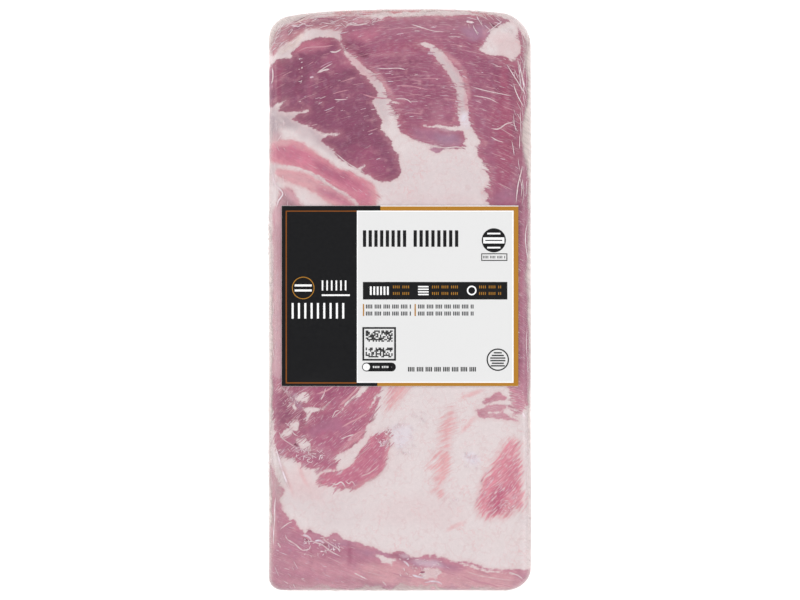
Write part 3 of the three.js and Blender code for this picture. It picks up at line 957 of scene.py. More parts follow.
def new_piece(name, places, faces, material, replaced="bagged_slab", smoothed=True):
    """Makes an object of places in millimetres, arrays of triangles and quads and a material."""
    mesh = bpy.data.meshes.new(name)
    mesh.vertices.add(len(places))
    mesh.vertices.foreach_set("co", (np.asarray(places, float) * MM).ravel())
    corners = np.concatenate([f.ravel() for f in faces])
    sizes = np.concatenate([np.full(len(f), f.shape[1]) for f in faces])
    mesh.loops.add(len(corners))
    mesh.loops.foreach_set("vertex_index", corners.astype(np.int32))
    mesh.polygons.add(len(sizes))
    mesh.polygons.foreach_set("loop_start", (np.cumsum(sizes) - sizes).astype(np.int32))
    mesh.polygons.foreach_set("use_smooth", np.full(len(sizes), smoothed))
    mesh.update(calc_edges=True)
    if mesh.validate():
        raise RuntimeError(f"the mesh of {name} had faults")
    mesh.materials.append(material)
    piece = new_object(name, mesh)
    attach(piece, "root")
    if replaced:
        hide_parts(replaced)
    return piece


def store(piece, name, values):
    """Keeps one number, three numbers or one colour for each point of a piece."""
    width = 1 if values.ndim == 1 else values.shape[1]
    kind, key = {1: ("FLOAT", "value"), 3: ("FLOAT_VECTOR", "vector"), 4: ("FLOAT_COLOR", "color")}[width]
    layer = piece.data.attributes.new(name, kind, "POINT")
    layer.data.foreach_set(key, values.astype(np.float32).ravel())


def ridges(lines, widths, foot, waist, crest):
    """Closed ridges that lie on the slab. Lines is an array of lines of places, widths their
    half widths; each cross-section is a kite from foot to crest, widest at its waist, in
    millimetres over the slab's solid, and both ends of a line are points."""
    count, length = lines.shape[:2]
    lines = np.stack(kept_on(lines[..., 0], lines[..., 1]), axis=2)
    run = np.gradient(lines, axis=1)
    run = run / np.maximum(np.linalg.norm(run, axis=2, keepdims=True), 1e-9)
    side = np.stack([-run[..., 1], run[..., 0]], axis=2) * widths[..., None]
    base = surface_height(lines[..., 0].ravel(), lines[..., 1].ravel()).reshape(count, length)
    swell = widths / np.maximum(widths.max(axis=1, keepdims=True), 1e-9)
    middle = base + waist
    kite = (
        (lines - side, middle),
        (lines, middle + (foot - waist) * swell),
        (lines + side, middle),
        (lines, middle + (crest - waist) * swell),
    )
    corners = np.stack([np.concatenate([plan, z[..., None]], axis=2) for plan, z in kite], axis=2)
    inner = corners[:, 1:-1].reshape(-1, 3)
    tips = corners[:, [0, -1], 0].reshape(-1, 3)
    ring = np.arange(count * (length - 2) * 4).reshape(count, length - 2, 4)
    after = np.roll(ring, -1, axis=2)
    walls = np.stack([ring[:, :-1], after[:, :-1], after[:, 1:], ring[:, 1:]], axis=3).reshape(-1, 4)
    first = len(inner) + 2 * np.arange(count)[:, None] + np.zeros(4, int)
    start = np.stack([first, after[:, 0], ring[:, 0]], axis=2).reshape(-1, 3)
    end = np.stack([first + 1, ring[:, -1], after[:, -1]], axis=2).reshape(-1, 3)
    return np.concatenate([inner, tips]), [walls[:, ::-1], start[:, ::-1], end[:, ::-1]]


def swelling(half, length):
    """Half widths along lines: nothing at their ends, full from a fifth to four fifths."""
    t = np.linspace(0, 1, length)
    return np.clip(np.sin(math.pi * t) * 1.7, 0, 1) * np.asarray(half)[:, None]


def bent_lines(x, y, turn, long, bend, length):
    """Lines of places through (x, y), each with its own turn in radians, length and bend."""
    t = np.linspace(-0.5, 0.5, length)
    along = long[:, None] * t
    across = bend[:, None] * long[:, None] * (t**2 - 1 / 12)
    cos, sin = np.cos(turn)[:, None], np.sin(turn)[:, None]
    places = [x[:, None] + along * cos - across * sin, y[:, None] + along * sin + across * cos]
    return np.stack(places, axis=2)


def open_curve(points, length):
    """A smooth line through a few points, by the Catmull-Rom formula, with evenly many places
    between each two of them."""
    given = np.array(points, float)
    held = np.concatenate([2 * given[:1] - given[1:2], given, 2 * given[-1:] - given[-2:-1]])
    place = np.linspace(0, len(given) - 1, length)
    left = np.minimum(place.astype(int), len(given) - 2)
    return catmull_rom(*(held[left + k] for k in range(4)), (place - left)[:, None])


# ---- sizes and colours that a user may change ----


def srgb(red, green, blue):
    """A colour given from 0 to 255 as the screen shows it, in the linear numbers shaders use."""
    parts = [v / 255 for v in (red, green, blue)]
    return tuple(v / 12.92 if v <= 0.04045 else ((v + 0.055) / 1.055) ** 2.4 for v in parts)


def length_property(name, text, default_mm):
    """A length, kept in metres."""
    return bpy.props.FloatProperty(
        name=name, description=text, default=default_mm * MM, min=0, unit="LENGTH", precision=5
    )


def colour_property(name, text, default):
    """A colour, kept linear."""
    return bpy.props.FloatVectorProperty(
        name=name, description=text, default=srgb(*default), min=0, max=1, size=3, subtype="COLOR"
    )


class BellySizes(bpy.types.PropertyGroup):
    """Sizes of the meat, the film, the label and the stage."""

    step: length_property("Step", "Spacing of the points on the lean face", 1.62)
    meat_gap: length_property("Meat gap", "How far the meat lies inside the film's solid", 0.45)
    film_lift: length_property("Film lift", "How far the tight film stands off that solid", 0.08)
    wrinkle: length_property("Wrinkle", "Height of the film's wrinkles along the sides", 0.6)
    label_lift: length_property("Label lift", "Height of the label's upper side over the slab", 0.7)
    label_thickness: length_property("Label thickness", "Thickness of the label", 0.25)
    floor: length_property("Floor", "Width of the floor", 6000)
    camera_lens: bpy.props.FloatProperty(
        name="Lens", description="Focal length of the camera in millimetres", default=300, min=35
    )


class BellyColours(bpy.types.PropertyGroup):
    """Colours of the lean, the fat, the film, the label's print and the floor."""

    shoulder_lean: colour_property("Shoulder", "The dark shoulder muscle", (127, 69, 95))
    deep_lean: colour_property("Deep", "The darkest lean", (125, 62, 90))
    tongue_lean: colour_property("Tongue", "The tongue of the shoulder muscle", (148, 78, 106))
    middle_lean: colour_property("Middle", "The middle muscle", (147, 84, 109))
    strip_lean: colour_property("Strip", "The strip down the right edge", (151, 77, 102))
    pale_lean: colour_property("Pale lean", "Pale bands in the middle muscle", (184, 126, 141))
    corner_lean: colour_property("Corner", "Lean in the shoulder's left corner", (160, 104, 118))
    pink_lean: colour_property("Pink", "The pink muscle", (191, 115, 135))
    rose_lean: colour_property("Rose", "Pale salmon lean", (196, 146, 154))
    purple_lean: colour_property("Purple", "Lean beside the label", (181, 129, 144))
    silver_skin: colour_property("Silver skin", "Thin skin over a muscle", (158, 119, 142))
    flank_lean: colour_property("Flank", "The flank muscle", (162, 92, 118))
    crescent_lean: colour_property("Crescent", "The crescent muscle", (179, 104, 127))
    sliver_lean: colour_property("Sliver", "The sliver at the right edge", (184, 120, 140))
    patch_lean: colour_property("Patch", "The soft patch low on the right", (202, 131, 145))
    core_lean: colour_property("Core", "The heart of that patch", (177, 92, 117))
    faint_lean: colour_property("Faint", "Lean that shows through fat", (211, 148, 152))
    band_lean: colour_property("Band", "The band along the flank end", (171, 115, 134))
    # painted shade: the darkness that lies in hollows between muscles
    hole: colour_property("Hollow", "Dark hollows between muscles", (96, 36, 58))
    end_lean: colour_property("End lean", "Lean at the shoulder end", (186, 78, 88))
    side_lean: colour_property("Side lean", "Lean layers in the cut sides", (181, 99, 110))
    fat: colour_property("Fat", "The fat of the lean face", (212, 200, 201))
    cream_fat: colour_property("Cream fat", "The palest fat", (211, 198, 198))
    rosy_fat: colour_property("Rosy fat", "Fat with lean close under it", (204, 176, 178))
    cool_fat: colour_property("Cool fat", "Fat with a blue cast", (213, 205, 215))
    side_fat: colour_property("Side fat", "Fat layers in the cut sides", (221, 203, 193))
    film: colour_property("Film", "Milky film", (216, 203, 201))
    thick_film: colour_property("Thick film", "Film in many layers at the edges", (213, 199, 195))
    # the crease's pale colour is partly the milky fold and partly painted highlight
    crease: colour_property("Crease", "Film pressed white in a crease", (228, 214, 222))
    shade_fat: colour_property("Shaded fat", "Fat in the seams between muscles", (190, 172, 176))
    # painted shade: darker fat where a rim turns away from the light
    rim_fat: colour_property("Rim fat", "Fat where a rim turns away", (158, 140, 147))
    label_dark: colour_property("Label dark", "The label's dark field", (11, 11, 14))
    label_pale: colour_property("Label pale", "The label's pale field", (219, 219, 219))
    label_gold: colour_property("Label gold", "The label's gold ink", (172, 120, 42))
    label_bronze: colour_property("Label bronze", "The label's thin dark lines", (132, 74, 26))
    label_white: colour_property("Label white", "The label's white ink and outline", (245, 245, 245))
    label_grey: colour_property("Label grey", "The label's grey ink", (48, 48, 52))
    floor: colour_property("Floor", "The floor", (250, 250, 250))


# ---- shader helpers and the groups that several materials share ----


def add(tree, kind, sockets=None, **settings):
    """Adds a node, sets its settings, and links or sets the named or numbered sockets."""
    node = tree.nodes.new(kind)
    for name, value in settings.items():
        setattr(node, name, value)
    for name, value in (sockets or {}).items():
        if isinstance(value, bpy.types.NodeSocket):
            tree.links.new(value, node.inputs[name])
        else:
            node.inputs[name].default_value = value
    return node


def sums(tree, operation, *values):
    """The output of a math node."""
    return add(tree, "ShaderNodeMath", dict(enumerate(values)), operation=operation).outputs[0]


def product(tree, value, *others):
    """The output of math nodes that multiply values."""
    for other in others:
        value = sums(tree, "MULTIPLY", value, other)
    return value


def weighed(tree, first, *others):
    """The output of math nodes that add values, each given with its weight."""
    total = product(tree, *first)
    for value, weight in others:
        total = sums(tree, "MULTIPLY_ADD", value, weight, total)
    return total


def blend(tree, share, low, high, mode="MIX"):
    """The output of a node that mixes two colours. A colour property gets its fourth number."""
    low, high = (c if isinstance(c, bpy.types.NodeSocket) else (*c, 1.0) for c in (low, high))
    node = add(tree, "ShaderNodeMix", {0: share, 6: low, 7: high}, data_type="RGBA", blend_type=mode)
    return node.outputs[2]


def ramp(tree, value, low, high, to_low=0.0, to_high=1.0):
    """The output of a node that maps a range of values to another, with soft ends."""
    sockets = {0: value, 1: low, 2: high, 3: to_low, 4: to_high}
    return add(tree, "ShaderNodeMapRange", sockets, interpolation_type="SMOOTHSTEP").outputs[0]


def stored(tree, name, output):
    """A value that the mesh keeps for each point."""
    return add(tree, "ShaderNodeAttribute", attribute_name=name).outputs[output]


def new_group(name, inputs, outputs):
    """An empty node group with named float, vector or colour sockets; its ends come with it."""
    group = bpy.data.node_groups.new(name, "ShaderNodeTree")
    for way, sockets in (("INPUT", inputs), ("OUTPUT", outputs)):
        for socket, kind in sockets.items():
            group.interface.new_socket(socket, in_out=way, socket_type=f"NodeSocket{kind}")
    return group, group.nodes.new("NodeGroupInput").outputs, group.nodes.new("NodeGroupOutput").inputs


def placed_group(tree, name, build, sockets):
    """The output of a node group with its own values; it is built when first asked for."""
    group = bpy.data.node_groups.get(name) or build(name)
    return add(tree, "ShaderNodeGroup", sockets, node_tree=group).outputs[0]


def put_out_noise(group, vector, detail, result):
    """Links noise to a group's result: the noise texture less a half, times 3.2, which gives
    about -1 to 1."""
    texture = add(group, "ShaderNodeTexNoise", {"Vector": vector, "Scale": 1.0, "Detail": detail})
    centred = sums(group, "SUBTRACT", texture.outputs[0], 0.5)
    group.links.new(product(group, centred, 3.2), result)


def build_streaks(name):
    """Noise drawn out along fibres: the place along and across them in millimetres is divided
    by the streak's length and width. Puts out a value from about -1 to 1."""
    inputs = {"Fibre": "Vector", "Length": "Float", "Width": "Float", "Seed": "Float"}
    group, given, result = new_group(name, inputs, {"Value": "Float"})
    split = add(group, "ShaderNodeSeparateXYZ", {0: given["Fibre"]})
    along = sums(group, "DIVIDE", split.outputs[0], given["Length"])
    across = sums(group, "DIVIDE", split.outputs[1], given["Width"])
    joined = add(group, "ShaderNodeCombineXYZ", {0: along, 1: across, 2: given["Seed"]})
    put_out_noise(group, joined.outputs[0], 2.5, result["Value"])
    return group


def streaks(tree, fibre, length, width, seed):
    """The output of the streak group with its own values."""
    sockets = {"Fibre": fibre, "Length": length, "Width": width, "Seed": seed}
    return placed_group(tree, "fibre streaks", build_streaks, sockets)


def build_mottle(name):
    """Cloudy noise by the object's own place, with grains of a size in millimetres. Puts out a
    value from about -1 to 1."""
    group, given, result = new_group(name, {"Grain": "Float", "Seed": "Float"}, {"Value": "Float"})
    scaled = own_place(group, sums(group, "DIVIDE", 1 / MM, given["Grain"]))
    shifted = add(group, "ShaderNodeVectorMath", {0: scaled, 1: given["Seed"]})
    put_out_noise(group, shifted.outputs[0], 3.0, result["Value"])
    return group


def mottle(tree, grain, seed):
    """The output of the mottle group with its own values."""
    return placed_group(tree, "mottle", build_mottle, {"Grain": grain, "Seed": seed})


def new_material(name):
    """A material with one Principled shader. Returns it, its node tree and the shader."""
    material = bpy.data.materials.new(name)
    material.use_nodes = True
    tree = material.node_tree
    return material, tree, tree.nodes["Principled BSDF"]


def shade(tree, shader, colour, roughness, bump_height, bump_mm, **constants):
    """Links colour, roughness and a bump of a height in millimetres, and sets the rest."""
    tree.links.new(colour, shader.inputs["Base Color"])
    tree.links.new(roughness, shader.inputs["Roughness"])
    bump = add(tree, "ShaderNodeBump", {"Height": bump_height, "Distance": bump_mm * MM, "Strength": 1.0})
    tree.links.new(bump.outputs[0], shader.inputs["Normal"])
    for socket, value in constants.items():
        shader.inputs[socket.replace("_", " ")].default_value = value


def darker_or_lighter(tree, colour, change):
    """A colour times one plus a change."""
    factor = sums(tree, "ADD", change, 1.0)
    grey = add(tree, "ShaderNodeCombineXYZ", {0: factor, 1: factor, 2: factor}).outputs[0]
    return blend(tree, 1.0, colour, grey, "MULTIPLY")


def own_place(tree, scale):
    """The object's own place times a scale."""
    place = add(tree, "ShaderNodeTexCoord").outputs["Object"]
    return add(tree, "ShaderNodeVectorMath", {0: place, "Scale": scale}, operation="SCALE").outputs[0]


def lean_mask(tree, fibre):
    """How much the lean shows, the distance into it and the softness of its edge. Clouds and
    streaks along the fibres tear the stored distance; the lean grows from nothing to its stored
    share while the distance goes from minus the softness to plus it; and streaks of fat hatch
    the softest edges."""
    look = stored(tree, "edge_look", "Vector")
    fray, soft, share = add(tree, "ShaderNodeSeparateXYZ", {0: look}).outputs
    nibble = weighed(tree, (mottle(tree, 3.6, 3.0), 1.0), (mottle(tree, 1.5, 7.0), 0.6))
    short, long = streaks(tree, fibre, 13.0, 1.1, 1.0), streaks(tree, fibre, 26.0, 2.6, 9.0)
    torn = sums(tree, "MULTIPLY_ADD", weighed(tree, (short, 0.55), (long, 0.75)), fray, nibble)
    edge = sums(tree, "ADD", stored(tree, "lean_edge", "Fac"), torn)
    whole = product(tree, ramp(tree, edge, product(tree, soft, -1.0), soft), share)
    hatch = sums(tree, "MULTIPLY_ADD", edge, 0.12, streaks(tree, fibre, 17.0, 2.2, 6.0))
    hatch = product(tree, ramp(tree, hatch, -0.1, 0.8, 0.85, 0.0), ramp(tree, soft, 2.0, 2.7))
    return product(tree, whole, sums(tree, "SUBTRACT", 1.0, hatch)), edge, soft


def lean_colour(tree, colours, change, fibre, flecks, edge, soft):
    """The stored tint of the lean with warm and cool clouds, a pale rim that is widest at soft
    edges, a change of lightness and flecks of fat."""
    warm = ramp(tree, mottle(tree, 8.0, 61.0), 0.0, 1.1, 0.0, 0.42)
    lean = blend(tree, warm, stored(tree, "lean_tint", "Color"), colours.rose_lean)
    cool = ramp(tree, mottle(tree, 6.0, 67.0), 0.1, 1.1, 0.0, 0.45)
    lean = blend(tree, cool, lean, colours.silver_skin)
    near = ramp(tree, edge, 0.5, 8.0, 1.0, 0.0)
    rim = product(tree, near, ramp(tree, soft, 1.0, 3.0, 0.15, 0.55))
    lean = darker_or_lighter(tree, blend(tree, rim, lean, colours.faint_lean), change)
    fleck = ramp(tree, streaks(tree, fibre, 7.0, 0.9, 4.0), 0.08, 0.62)
    return blend(tree, product(tree, fleck, flecks, 0.34), lean, colours.fat)


def thin_lines(tree, grain, seed, strength):
    """Thin lines where clouds of a grain pass through nought."""
    height = sums(tree, "ABSOLUTE", mottle(tree, grain, seed))
    return ramp(tree, height, 0.0, 0.09, strength, 0.0)


def fat_colour(tree, colours, change, edge):
    """The stored tint of the fat with a change of lightness, rosy veins, hairs of flesh in some
    places, pearly clouds and a blush beside the lean."""
    fat = darker_or_lighter(tree, stored(tree, "fat_tint", "Color"), change)
    fat = blend(tree, thin_lines(tree, 14.0, 11.0, 0.4), fat, colours.rosy_fat)
    haired = ramp(tree, mottle(tree, 30.0, 37.0), -0.1, 0.6)
    hair = product(tree, thin_lines(tree, 8.0, 29.0, 0.45), haired)
    fat = blend(tree, hair, fat, colours.faint_lean)
    pearl = ramp(tree, mottle(tree, 7.0, 47.0), 0.0, 1.0, 0.0, 0.5)
    fat = blend(tree, pearl, fat, colours.cream_fat)
    return blend(tree, ramp(tree, edge, -5.0, -0.2, 0.0, 0.38), fat, colours.rosy_fat)


def painted_glints(tree):
    """Small round painted highlights: glints of the film painted into the colour, some 4 mm apart and only
    where a cloud is.
    """
    cells = {"Vector": own_place(tree, 1 / MM), "Scale": 0.24}
    dots = add(tree, "ShaderNodeTexVoronoi", cells).outputs["Distance"]
    clouds = ramp(tree, mottle(tree, 15.0, 71.0), 0.0, 1.0, 0.0, 0.8)
    return product(tree, ramp(tree, dots, 0.07, 0.15, 1.0, 0.0), clouds)


def meat_material(colours):
    """Raw lean and fat, wet under film. The mesh keeps the distance to the lean's edge, its
    fray, softness and share, the share of flecks, the fibres' place and both tints. The mask
    from the distance decides between the two colours, and clouds, pores and grain along the
    fibres make each darker and lighter."""
    material, tree, shader = new_material("wet lean and fat")
    fibre = stored(tree, "fibre", "Vector")
    flecks = stored(tree, "flecks", "Fac")
    mask, edge, soft = lean_mask(tree, fibre)
    cloud, pores = mottle(tree, 24.0, 5.0), mottle(tree, 1.6, 19.0)
    grain = streaks(tree, fibre, 13.0, 1.1, 2.0)
    busy = sums(tree, "MULTIPLY_ADD", flecks, 0.06, 0.015)
    lean_parts = (
        (grain, busy),
        (streaks(tree, fibre, 34.0, 5.0, 3.0), 0.09),
        (cloud, 0.08),
        (mottle(tree, 4.5, 23.0), 0.06),
        (pores, 0.06),
    )
    lean = lean_colour(tree, colours, weighed(tree, *lean_parts), fibre, flecks, edge, soft)
    fat_parts = ((mottle(tree, 4.0, 8.0), 0.04), (cloud, 0.02), (pores, 0.04))
    fat = fat_colour(tree, colours, weighed(tree, *fat_parts), edge)
    # painted highlight: small glints of the film laid over the lean in the film's colour
    colour = blend(tree, product(tree, painted_glints(tree), mask), blend(tree, mask, fat, lean), colours.film)
    gloss = sums(tree, "MULTIPLY_ADD", mottle(tree, 6.0, 13.0), 0.05, 0.34)
    height = sums(tree, "MULTIPLY_ADD", product(tree, grain, mask), 0.5, mottle(tree, 3.0, 17.0))
    shade(tree, shader, colour, gloss, height, 0.12, Specular_IOR_Level=0.3, Coat_Weight=0.1)
    return material


def film_material(colours):
    """Clear film: almost all see-through where it lies tight, milky where it creases and round the sides;
    that milk is partly the film's own and partly painted highlight and sheen. The mesh keeps the milkiness
    and the way the creases run."""
    material, tree, shader = new_material("shrunk film")
    fibre = stored(tree, "crease_way", "Vector")
    milk = stored(tree, "milk", "Fac")
    fine = streaks(tree, fibre, 14.0, 1.3, 21.0)
    wide = streaks(tree, fibre, 30.0, 5.0, 22.0)
    change = sums(tree, "MULTIPLY_ADD", fine, 0.34, sums(tree, "MULTIPLY_ADD", wide, 0.22, 1.0))
    alpha = product(tree, milk, sums(tree, "MAXIMUM", change, 0.1))
    tint = blend(tree, ramp(tree, milk, 0.3, 0.7), colours.film, colours.thick_film)
    tint = darker_or_lighter(tree, tint, product(tree, wide, 0.03))
    gloss = sums(tree, "MULTIPLY_ADD", fine, 0.03, 0.14)
    shade(tree, shader, tint, gloss, fine, 0.05, Specular_IOR_Level=0.12)
    tree.links.new(sums(tree, "MINIMUM", alpha, 0.85), shader.inputs["Alpha"])
    return material


def thread_material(colours):
    """Thin fat or flesh: the thread's own colour, paler or fleshier in places."""
    material, tree, shader = new_material("thin fat and flesh")
    share = ramp(tree, mottle(tree, 5.0, 41.0), -0.5, 0.8, 0.5, 0.0)
    colour = blend(tree, share, stored(tree, "tint", "Color"), colours.pale_lean)
    gloss = sums(tree, "MULTIPLY_ADD", mottle(tree, 2.0, 43.0), 0.06, 0.36)
    shade(tree, shader, colour, gloss, mottle(tree, 1.2, 45.0), 0.06)
    return material


def crease_material(colours):
    """Film pressed together in a crease: milky, with painted highlight in its pale colour, rosier at its
    thin places.
    """
    material, tree, shader = new_material("creased film")
    share = ramp(tree, mottle(tree, 6.0, 51.0), -0.7, 0.7, 0.15, 1.0)
    tint = blend(tree, share, colours.rosy_fat, colours.crease)
    gloss = ramp(tree, mottle(tree, 2.0, 55.0), -1.0, 1.0, 0.15, 0.35)
    shade(tree, shader, tint, gloss, mottle(tree, 1.5, 57.0), 0.03)
    return material


def ink_material(name, tint, gloss, speckle):
    """Ink on coated paper: an even colour with a fine speckle and a faint tooth."""
    material, tree, shader = new_material(name)
    colour = darker_or_lighter(tree, tint, product(tree, mottle(tree, 0.8, 31.0), speckle))
    roughness = sums(tree, "MULTIPLY_ADD", mottle(tree, 3.0, 33.0), 0.04, gloss)
    shade(tree, shader, colour, roughness, mottle(tree, 0.6, 35.0), 0.01)
    return material


# ---- the meat ----


def lean_depths(x, y):
    """Distance into each patch of lean, into the nearest fat that lies over the lean, and how
    ragged that fat's edge is. A warp of about a millimetre roughens every outline."""
    wx = x + 0.9 * rough(x / 6, y / 6, 40)
    wy = y + 0.9 * rough(x / 6, y / 6, 50)
    depth = np.stack([inside_distance(wx, wy, closed_curve(lean.outline)) for lean in LEANS])
    over = [seam_distance(wx, wy, seam) for seam in SEAMS]
    over += [inside_distance(wx, wy, closed_curve(patch.outline)) for patch in FATS]
    nearest = np.argmax(over, axis=0)
    ragged = np.array([fat.ragged for fat in (*SEAMS, *FATS)])[nearest]
    return depth, np.max(over, axis=0), ragged


def each_lean(trait):
    """One trait of every patch of lean, in their order."""
    return np.array([getattr(lean, trait) for lean in LEANS])


def each_tint(colours, items):
    """The colour that each item names, in their order."""
    return np.array([getattr(colours, item.tint) for item in items])


def fibre_run(x, y, owner):
    """The places from the middle of the patch of lean that each point belongs to, and the way
    and bend of its fibres."""
    turns = np.radians(each_lean("turn"))[owner]
    bends = np.radians(each_lean("bend"))[owner] / 100
    middles = np.array([np.mean(lean.outline, axis=0) for lean in LEANS])[owner]
    return x - middles[:, 0], y - middles[:, 1], turns, bends


def face_pattern(x, y, flat_x, flat_y, colours):
    """Works out the lean face at each point: the distance to the nearest edge of lean, how that
    edge looks, the share of flecks, the fibres' place and the tints. The patch that a point
    lies deepest in sets its fibres, and the tints of patches blend. The fibres' place is taken
    on the face rolled out flat."""
    depth, over, ragged = lean_depths(x, y)
    owner = depth.argmax(axis=0)
    inside = depth.max(axis=0)
    dx, dy, turns, bends = fibre_run(flat_x, flat_y, owner)
    along = dx * np.cos(turns) + dy * np.sin(turns)
    across = dy * np.cos(turns) - dx * np.sin(turns) - bends * along**2 / 2
    across = across + 1.6 * rough(x / 21, y / 21, 120)
    fibre = np.stack([along, across, owner * 7.0], axis=1)
    look = edge_look(x, y, turns + bends * along, owner)
    in_fat = -over < inside
    look[in_fat, 0] = np.minimum(look[in_fat, 0], ragged[in_fat])
    look[in_fat, 1] = np.minimum(look[in_fat, 1], 0.8)
    flecks = each_lean("flecks")[owner] * calm(x, y)
    weight = np.exp(np.clip(depth - inside, -60, 0) / 4)
    weight = weight / weight.sum(axis=0)
    lean_tint = stained(x, y, weight.T @ each_tint(colours, LEANS), LEAN_STAINS, colours)
    fat_tint = stained(x, y, np.tile(colours.fat, (len(x), 1)), FAT_STAINS, colours)
    return np.minimum(inside, -over), look, flecks, fibre, lean_tint, fat_tint


def edge_distance(x, y, way, step):
    """Distance into the lean that no fat lies over, a step along the fibres from each point."""
    depth, over, _ = lean_depths(x + step * np.cos(way), y + step * np.sin(way))
    return np.minimum(depth.max(axis=0), -over)


def edge_look(x, y, way, owner):
    """The fray, softness and share of each point's patch of lean. Crisp edges fray most where
    the fibres end at them, which is where the distance changes most along the fibres."""
    look = np.array([(lean.fray, lean.soft, lean.share) for lean in LEANS])[owner]
    change = edge_distance(x, y, way, FEELER) - edge_distance(x, y, way, -FEELER)
    slant = np.clip(np.abs(change) / (2 * FEELER), 0, 1)
    uneven = 0.35 + 1.1 * smooth(rough(x / 13, y / 13, 130), -0.6, 0.8)
    bias = smooth(look[:, 1], 1.4, 2.8)
    look[:, 0] = look[:, 0] * uneven * (bias + (1 - bias) * slant**1.5) + 0.3
    return look


def stained(x, y, tint, stains, colours):
    """Lays soft ovals of colour over a tint; a slow warp, at most as large as half their
    width, makes them uneven."""
    east, north = rough(x / 18, y / 18, 60), rough(x / 18, y / 18, 70)
    for stain, colour in zip(stains, each_tint(colours, stains)):
        warp = min(5, stain.wide / 2)
        reach = reach_in(x + warp * east, y + warp * north, stain)
        tint = mixed(tint, colour, (stain.strength * fade(reach, 0.35, 1.15))[:, None])
    return tint


def calm(x, y):
    """0 on the smooth silver skin over a muscle, 1 away from it."""
    total = np.ones(x.shape)
    for stain in LEAN_STAINS:
        if stain.tint == "silver_skin":
            total *= smooth(reach_in(x, y, stain), 0.6, 1.1)
    return total


def side_layers(x, y, z):
    """Distance into the lean layers of the cut sides, in millimetres: two wavy bands of lean
    between bands of fat, which swell and pinch along the side."""
    height = z / thickness(y) - 0.06 * rough(x / 60, y / 60, 80)
    swell = 1 + 0.6 * rough(x / 38, y / 38, 85)
    upper = 0.09 * swell - np.abs(height - 0.36)
    lower = 0.04 * (2 - swell) - np.abs(height - 0.13)
    return np.maximum(upper, lower) * thickness(y)


def round_the_side(x, y):
    """A place along the cut sides, which goes on from one side to the next."""
    return y + SIDE_TURN * x


def meat_attributes(skin, colours):
    """The pattern on the whole slab: the lean face's on top and down the upper part of the
    sides, layers below it and plain fat underneath, each fading into the next."""
    x, y, z = skin.place.T
    drop = np.clip(upper_height(x, y) - z, 0, 20) * (skin.ring > 0)
    away = skin.out[:, :2] / np.maximum(np.linalg.norm(skin.out[:, :2], axis=1, keepdims=True), 1e-6)
    flat_x, flat_y = x + away[:, 0] * drop, y + away[:, 1] * drop
    edge, look, flecks, fibre, lean_tint, fat_tint = face_pattern(x, y, flat_x, flat_y, colours)
    side = smooth(skin.ring, 0.05, 0.2) * fade(z / thickness(y), 0.4, 0.48)
    layer = side_layers(x, y, z) - 12 * smooth(skin.ring, 1.5, 1.9)
    edge = mixed(edge, layer, side)
    side_fibre = np.stack([round_the_side(x, y), z, np.full(len(x), 120.0)], axis=1)
    side = side[:, None]
    fibre = np.where(side > 0.5, side_fibre, fibre)
    look = np.where(side > 0.5, np.array([1.0, 0.9, 0.9]), look)
    lean_tint = mixed(lean_tint, np.array(colours.side_lean), side)
    fat_tint = mixed(fat_tint, np.array(colours.side_fat), side)
    return {"lean_edge": edge, "edge_look": look, "flecks": flecks, "fibre": fibre,
            "lean_tint": with_alpha(lean_tint), "fat_tint": with_alpha(fat_tint)}


def with_alpha(tint):
    """Adds a fourth number to each colour."""
    return np.concatenate([tint, np.ones((len(tint), 1))], axis=1)


class BELLY_OT_meat(bpy.types.Operator):
    """The raw slab: lean and fat on the face, layers at the cut sides, fat underneath"""

    bl_idname = "belly.meat"
    bl_label = "Meat"

    def execute(self, context):
        sizes, colours = context.scene.belly_sizes, context.scene.belly_colours
        skin = slab_skin(sizes.step / MM)
        pattern = meat_attributes(skin, colours)
        x, y, _ = skin.place.T
        edge, fibre = pattern["lean_edge"], pattern["fibre"]
        groove = 0.35 * np.exp(-((edge / 1.8) ** 2))
        fibres = 0.10 * noise(fibre[:, 0] / 14, fibre[:, 1] / 2.4, 7) * smooth(edge, 0, 2)
        lumps = 0.08 * rough(x / 9, y / 9, 17) * smooth(skin.ring, 0, 0.4) * fade(skin.ring, 1.4, 1.8)
        gap = sizes.meat_gap / MM * (1 - SIDE_GAP_LOSS * smooth(skin.ring, 0.3, 0.8))
        depth = gap + groove + fibres + np.abs(lumps) - bridged(skin, 1.0, 1.3)
        places = skin.place - skin.out * depth[:, None]
        piece = new_piece("belly_meat", places, skin.faces, meat_material(colours))
        for name, values in pattern.items():
            store(piece, name, values)
        return {"FINISHED"}


# ---- the film ----


